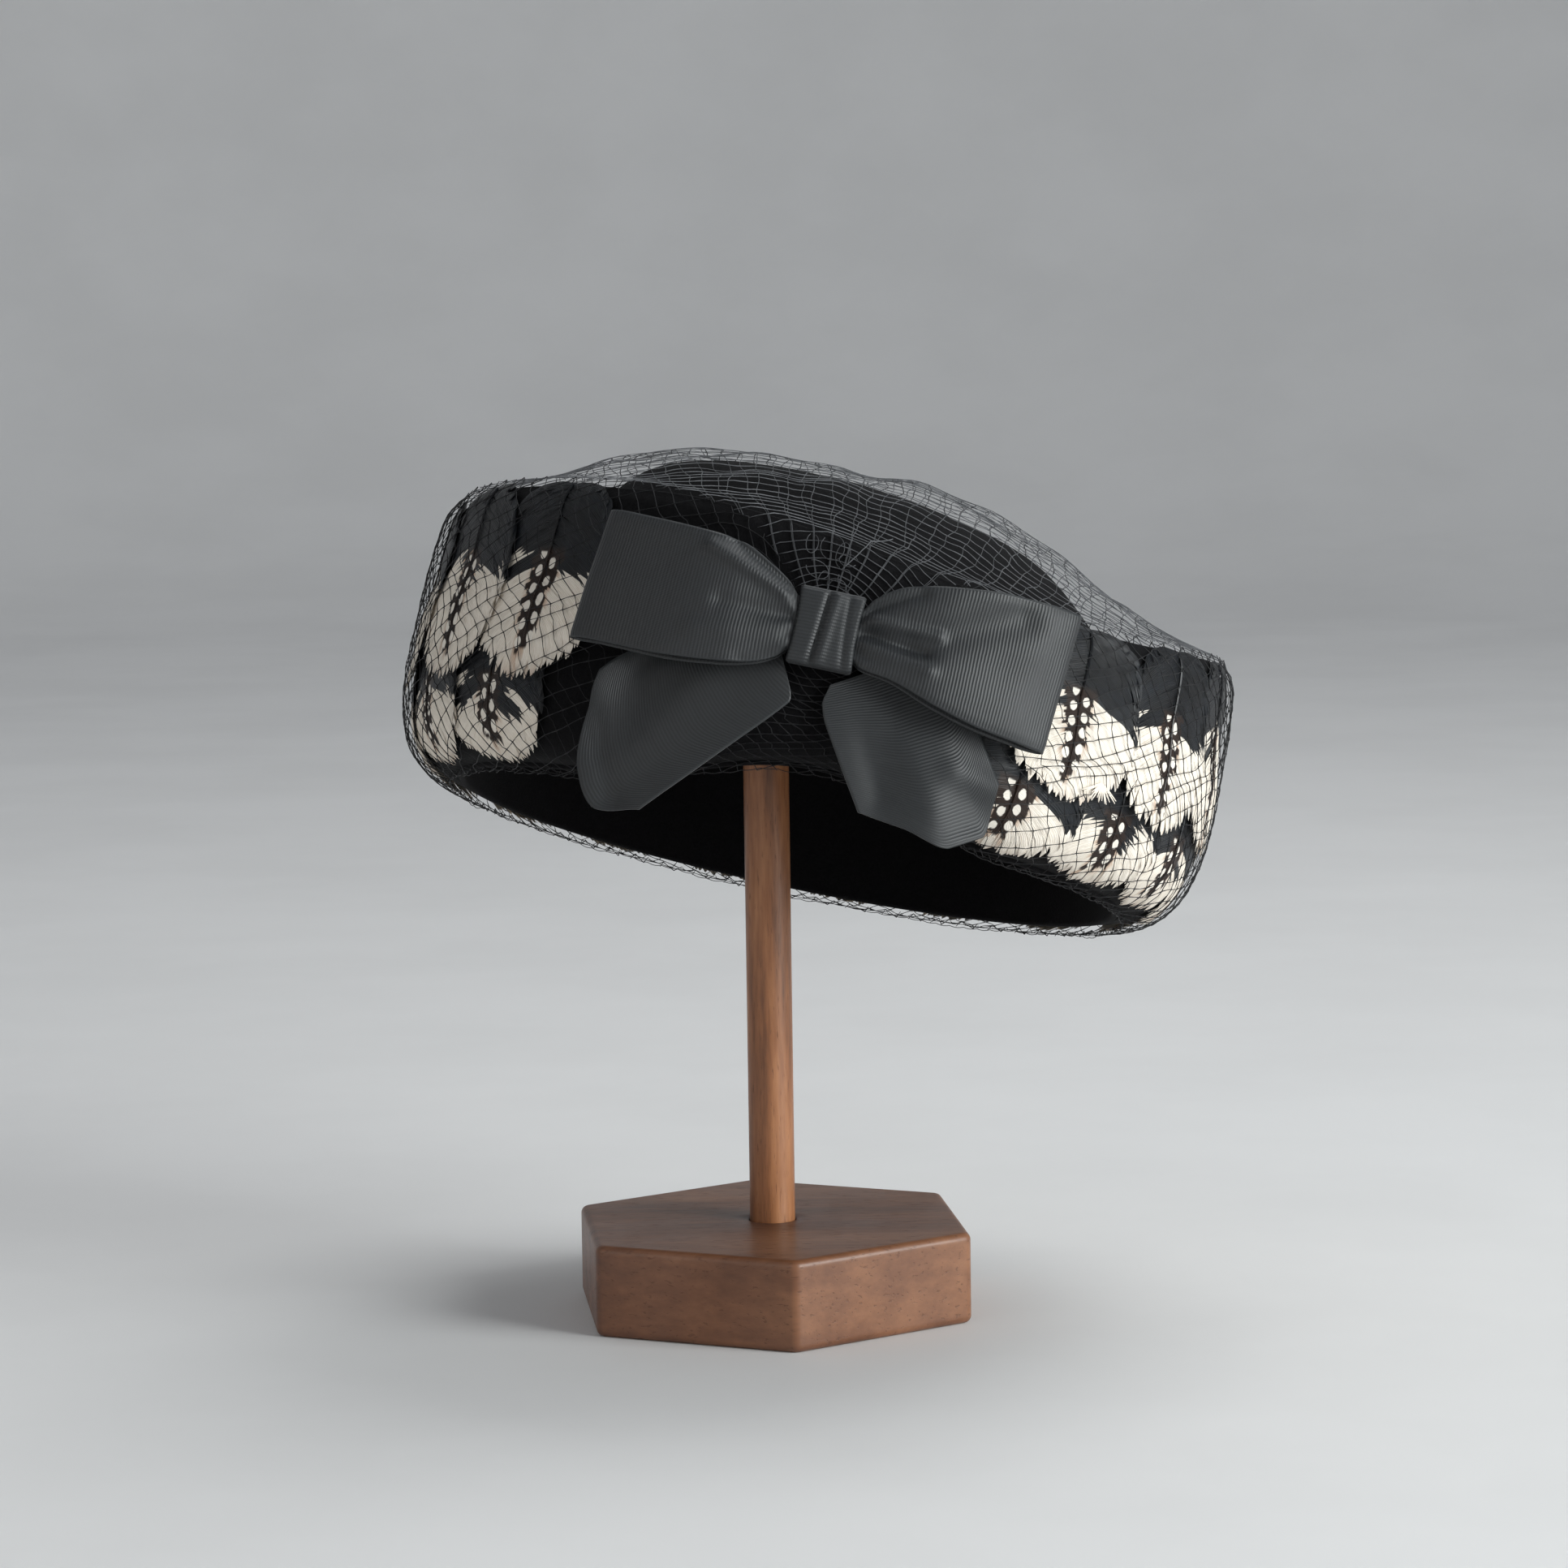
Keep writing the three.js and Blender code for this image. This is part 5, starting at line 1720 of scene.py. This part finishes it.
    def tail(self, plan: TailPlan, material: bpy.types.Material) -> None:
        """Makes one tail, which falls from under the knot over the net.

        Args:
            plan: The tail.
            material: Its finish.
        """
        table = np.array(plan.rows)
        share = np.linspace(0, 1, self.across_steps)[None, :]
        way = np.linspace(0, 1, 110)[:, None]
        inner, outer = (smooth_curve(table[:, 0], table[:, k], way) for k in (1, 2))
        across = inner + (outer - inner) * share
        cut = smooth_curve(np.linspace(0, 1, len(plan.cut)), np.array(plan.cut), share)
        along = plan.root + (cut - plan.root) * way
        fall = math.radians(plan.fall_deg)
        wide, long = across * self.ribbon_width, along * self.tail_length
        right = plan.side * (long * math.cos(fall) + wide * math.sin(fall))
        up = wide * math.cos(fall) - long * math.sin(fall)
        creases = sum(f.read(along, across, self.tail_length, self.ribbon_width) for f in plan.folds)
        free = smoothstep(along, 0.25, 0.5)
        lift = np.maximum(creases, -0.6) * free + 0.9 * smoothstep(along / cut, 0.7, 1) + 0.3
        points = self.place(right, up, self.seat(right) + lift)
        length = (float(np.mean(plan.cut)) - plan.root) * self.tail_length
        self.ribbon(plan.name, points, plan.node, material, length)

    def build(self) -> None:
        """Makes all five pieces of the bow."""
        material = self.finish.material()
        for plan in self.loops():
            self.loop(plan, material)
        self.knot(material)
        for plan in self.tails():
            self.tail(plan, material)


# Stand


@dataclass
class Stand:
    """A six-sided base, a round post and the hidden rest on which the crown sits."""

    corner_radius: float = 56.8
    thickness: float = 24.0
    edge_round: float = 1.9
    corner_round: float = 3.2
    turn_deg: float = -23.9
    post_diameter: float = 12.0
    socket_depth: float = 14.0
    gap: float = 0.3

    def hexagon(self, inset: Array) -> Array:
        """The base's outline, moved in by an inset: straight sides joined by round corners.

        Args:
            inset: How far in, for each row.

        Returns:
            Rows x columns x 2.
        """
        sixth = TURN / 6
        arc = np.linspace(-sixth / 2, sixth / 2, 9)
        corner = np.arange(6)[:, None] * sixth
        inset = np.asarray(inset, float)[:, None, None]
        corner_round = np.maximum(self.corner_round - inset, 0.35)
        centre = self.corner_radius - inset / math.cos(sixth / 2) - corner_round / math.cos(sixth / 2)
        x = centre * np.cos(corner) + corner_round * np.cos(corner + arc)
        y = centre * np.sin(corner) + corner_round * np.sin(corner + arc)
        sides = np.stack([x, y], -1)
        following = np.roll(sides, -1, axis=1)[:, :, :1]
        share = np.linspace(0, 1, 14)[1:-1][None, None, :, None]
        straight = sides[:, :, -1:] * (1 - share) + following * share
        ring = np.concatenate([sides, straight], 2).reshape(len(inset), -1, 2)
        turn = math.radians(self.turn_deg)
        spin = np.array([[math.cos(turn), math.sin(turn)], [-math.sin(turn), math.cos(turn)]])
        return ring @ spin

    def base(self) -> Surface:
        """The block: up its rounded side, in over the top to the socket, and down into it."""
        bend = np.linspace(0, TURN / 4, 7)
        low_in, low_up = self.edge_round * (1 - np.sin(bend)), self.edge_round * (1 - np.cos(bend))
        inset = np.concatenate([[40, 8, 3, 2.4], low_in, [0, 0], low_in[::-1], [2.4, 3, 8]])
        middle = [low_up[-1] + 0.5, self.thickness - low_up[-1] - 0.5]
        height = np.concatenate(
            [[0, 0, 0, 0], low_up, middle, self.thickness - low_up[::-1], np.full(3, self.thickness)]
        )
        walls = self.hexagon(inset)
        angle = np.arctan2(walls[-1, :, 1], walls[-1, :, 0])
        socket = self.post_diameter / 2 + self.gap
        rim = np.stack([np.cos(angle), np.sin(angle)], -1)
        share = np.array([0.35, 0.7, 0.92])[:, None, None]
        top = walls[-1] * (1 - share) + rim * (socket + 1) * share
        radii = np.array([socket + 0.4, socket, socket - 0.02, socket - 0.02, 0])[:, None, None]
        floor = self.thickness - self.socket_depth
        drop = np.array([self.thickness, self.thickness - 0.35, self.thickness - 1, floor, floor])
        ring = np.concatenate([walls[:1] * 0, walls, top, rim[None] * radii])
        heights = np.concatenate([[0], height, np.full(3, self.thickness), drop])
        points = np.concatenate([ring, np.broadcast_to(heights[:, None, None], (*ring.shape[:2], 1))], -1)
        made = Surface()
        made.add_grids(points, round_it=True)
        return made

    def turned(self, profile: list[tuple[float, float]], columns: int = 64) -> Surface:
        """A turned body from its profile of radius and height, which starts and ends on its axis."""
        radius, height = np.array(profile).T
        angle = np.linspace(0, TURN, columns + 1)[None, :]
        made = Surface()
        made.add_grids(round_points(angle, radius[:, None], height[:, None] + 0 * angle))
        return made

    def post(self) -> Surface:
        """The dowel, as high as its solid."""
        low, high = (corner.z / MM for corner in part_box("stand_post"))
        radius = self.post_diameter / 2
        heights = np.linspace(low + 0.6, high - 0.6, 40)
        walls = [(radius, float(h)) for h in heights]
        return self.turned([(0, low), (radius - 0.6, low), *walls, (radius - 0.6, high), (0, high)])

    def rest(self) -> Surface:
        """The domed disc on the post, as high and as wide as its solid."""
        low, high = (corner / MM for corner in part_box("stand_rest"))
        radius, dome, socket = high.x, 42.0, self.post_diameter / 2 + self.gap
        fall = np.linspace(math.asin(radius / dome), 0, 14)
        crest = high.z - dome
        side = crest + dome * math.cos(fall[0])
        roof = [(dome * math.sin(a), crest + dome * math.cos(a)) for a in fall]
        ceiling = low.z + 8
        foot = [(0, ceiling), (socket, ceiling), (socket, low.z), (radius - 0.5, low.z)]
        foot.append((radius, low.z + 0.5))
        return self.turned([*foot, (radius, side - 0.4), *roof[:-1], (0, high.z)])

    def build(self) -> None:
        """Makes the three pieces and dresses them, each with the grain along its length."""
        along_x, along_z = (0.16, 1.0, 1.0), (1.0, 1.0, 0.09)
        base_wood = WoodFinish("stained_base", along_x)
        dark, middle, light = (0.120, 0.042, 0.016), (0.290, 0.112, 0.042), (0.450, 0.200, 0.085)
        post_wood = WoodFinish("stained_post", along_z, dark, middle, light, bands=190.0, flecks=900.0)
        pieces = (
            ("wood_base", "stand_base", self.base(), base_wood),
            ("wood_post", "stand_post", self.post(), post_wood),
            ("wood_rest", "stand_rest", self.rest(), WoodFinish("stained_rest", along_x)),
        )
        for name, node, made, finish in pieces:
            piece = made.to_object(name, lambda points: points)
            finish_piece(piece, finish.material(), Slot.WOOD, node)


# Floor, lights and camera


@dataclass(frozen=True)
class Studio:
    """A pale floor, soft lamps and the camera."""

    camera_place: Triple = (0.00467, -1.3, 0.2837)
    camera_pitch_deg: float = -6.3
    camera_roll_deg: float = 0.82
    focal_pixels: float = 6119.0
    picture_pixels: float = 1932.0
    sensor: float = 36.0
    floor_radius: float = 2.4
    floor_bend: float = 1.1
    wall_height: float = 3.0
    target: Triple = (0, 0, 0.17)

    def floor(self) -> None:
        """Lays the floor, which isn't part of the object.

        It is a wide dish: flat in its middle, and curved up round it to a wall that is open above.
        """
        bend = np.linspace(0, TURN / 4, 12)
        radius = [0, 0.5, 1.2, self.floor_radius, *(self.floor_radius + self.floor_bend * np.sin(bend[1:]))]
        height = [0, 0, 0, 0, *(self.floor_bend * (1 - np.cos(bend[1:])))]
        radius, height = np.array([*radius, radius[-1]]), np.array([*height, self.wall_height])
        angle = np.linspace(0, TURN, 97)[None, :]
        made = Surface()
        made.add_grids(round_points(angle, radius[:, None] / MM, height[:, None] / MM + 0 * angle))
        floor = made.to_object("floor", lambda points: points, closed=False)
        floor.data.materials.append(FloorFinish().material())

    def lamp(
        self, name: str, place: Triple, size: float, watts: float, warm: float
    ) -> None:
        """Hangs a square soft lamp that faces the hat.

        Args:
            name: The lamp's name.
            place: Where it hangs, in metres.
            size: Its side, in metres.
            watts: Its power.
            warm: From -1, bluish, to 1, yellowish.
        """
        light = bpy.data.lights.new(name, "AREA")
        light.shape, light.size, light.energy = "SQUARE", size, watts
        light.color = (1.0, 1 - 0.06 * abs(warm), 1 - 0.14 * warm) if warm > 0 else (1 + 0.1 * warm, 1, 1)
        holder = bpy.data.objects.new(name, light)
        holder.location = place
        facing = Vector(self.target) - Vector(place)
        holder.rotation_euler = facing.to_track_quat("-Z", "Y").to_euler()
        holder.visible_camera = False
        bpy.context.scene.collection.objects.link(holder)

    def camera(self) -> None:
        """Sets the camera at the photograph's place, tilt and roll."""
        data = bpy.data.cameras.new("camera")
        data.sensor_width = self.sensor
        data.lens = self.sensor * self.focal_pixels / self.picture_pixels
        data.clip_start, data.clip_end = 0.05, 50
        holder = bpy.data.objects.new("camera", data)
        tilt = Matrix.Rotation(math.radians(90 + self.camera_pitch_deg), 4, "X")
        roll = Matrix.Rotation(math.radians(-self.camera_roll_deg), 4, "Z")
        holder.matrix_world = Matrix.Translation(self.camera_place) @ tilt @ roll
        bpy.context.scene.collection.objects.link(holder)
        bpy.context.scene.camera = holder

    def build(self) -> None:
        """Makes everything round the object."""
        self.floor()
        self.lamp("key", (1.5, -0.85, 0.6), 1.0, 34, -0.4)
        self.lamp("top", (0.5, 0.5, 1.7), 1.0, 9, -0.2)
        self.lamp("fill", (-1.3, -1.5, 0.7), 1.3, 4, 0.9)
        world = bpy.data.worlds.new("studio")
        world.use_nodes = True
        background = world.node_tree.nodes["Background"]
        background.inputs["Color"].default_value = (0.78, 0.82, 0.88, 1)
        background.inputs["Strength"].default_value = 0.35
        bpy.context.scene.world = world
        bpy.context.scene.view_settings.view_transform = "Standard"
        self.camera()


def main() -> None:
    """Builds the hat and its stand, then the studio."""
    logging.basicConfig(level=logging.INFO, format="%(name)s %(message)s")
    form = HatForm()
    plumage = Plumage(form)
    for part in (Felt(form), plumage, Veil(form, plumage), Bow(form, plumage), Stand(), Studio()):
        LOG.info("building %s", type(part).__name__)
        part.build()
    bpy.context.view_layer.update()


if __name__ == "__main__":
    main()
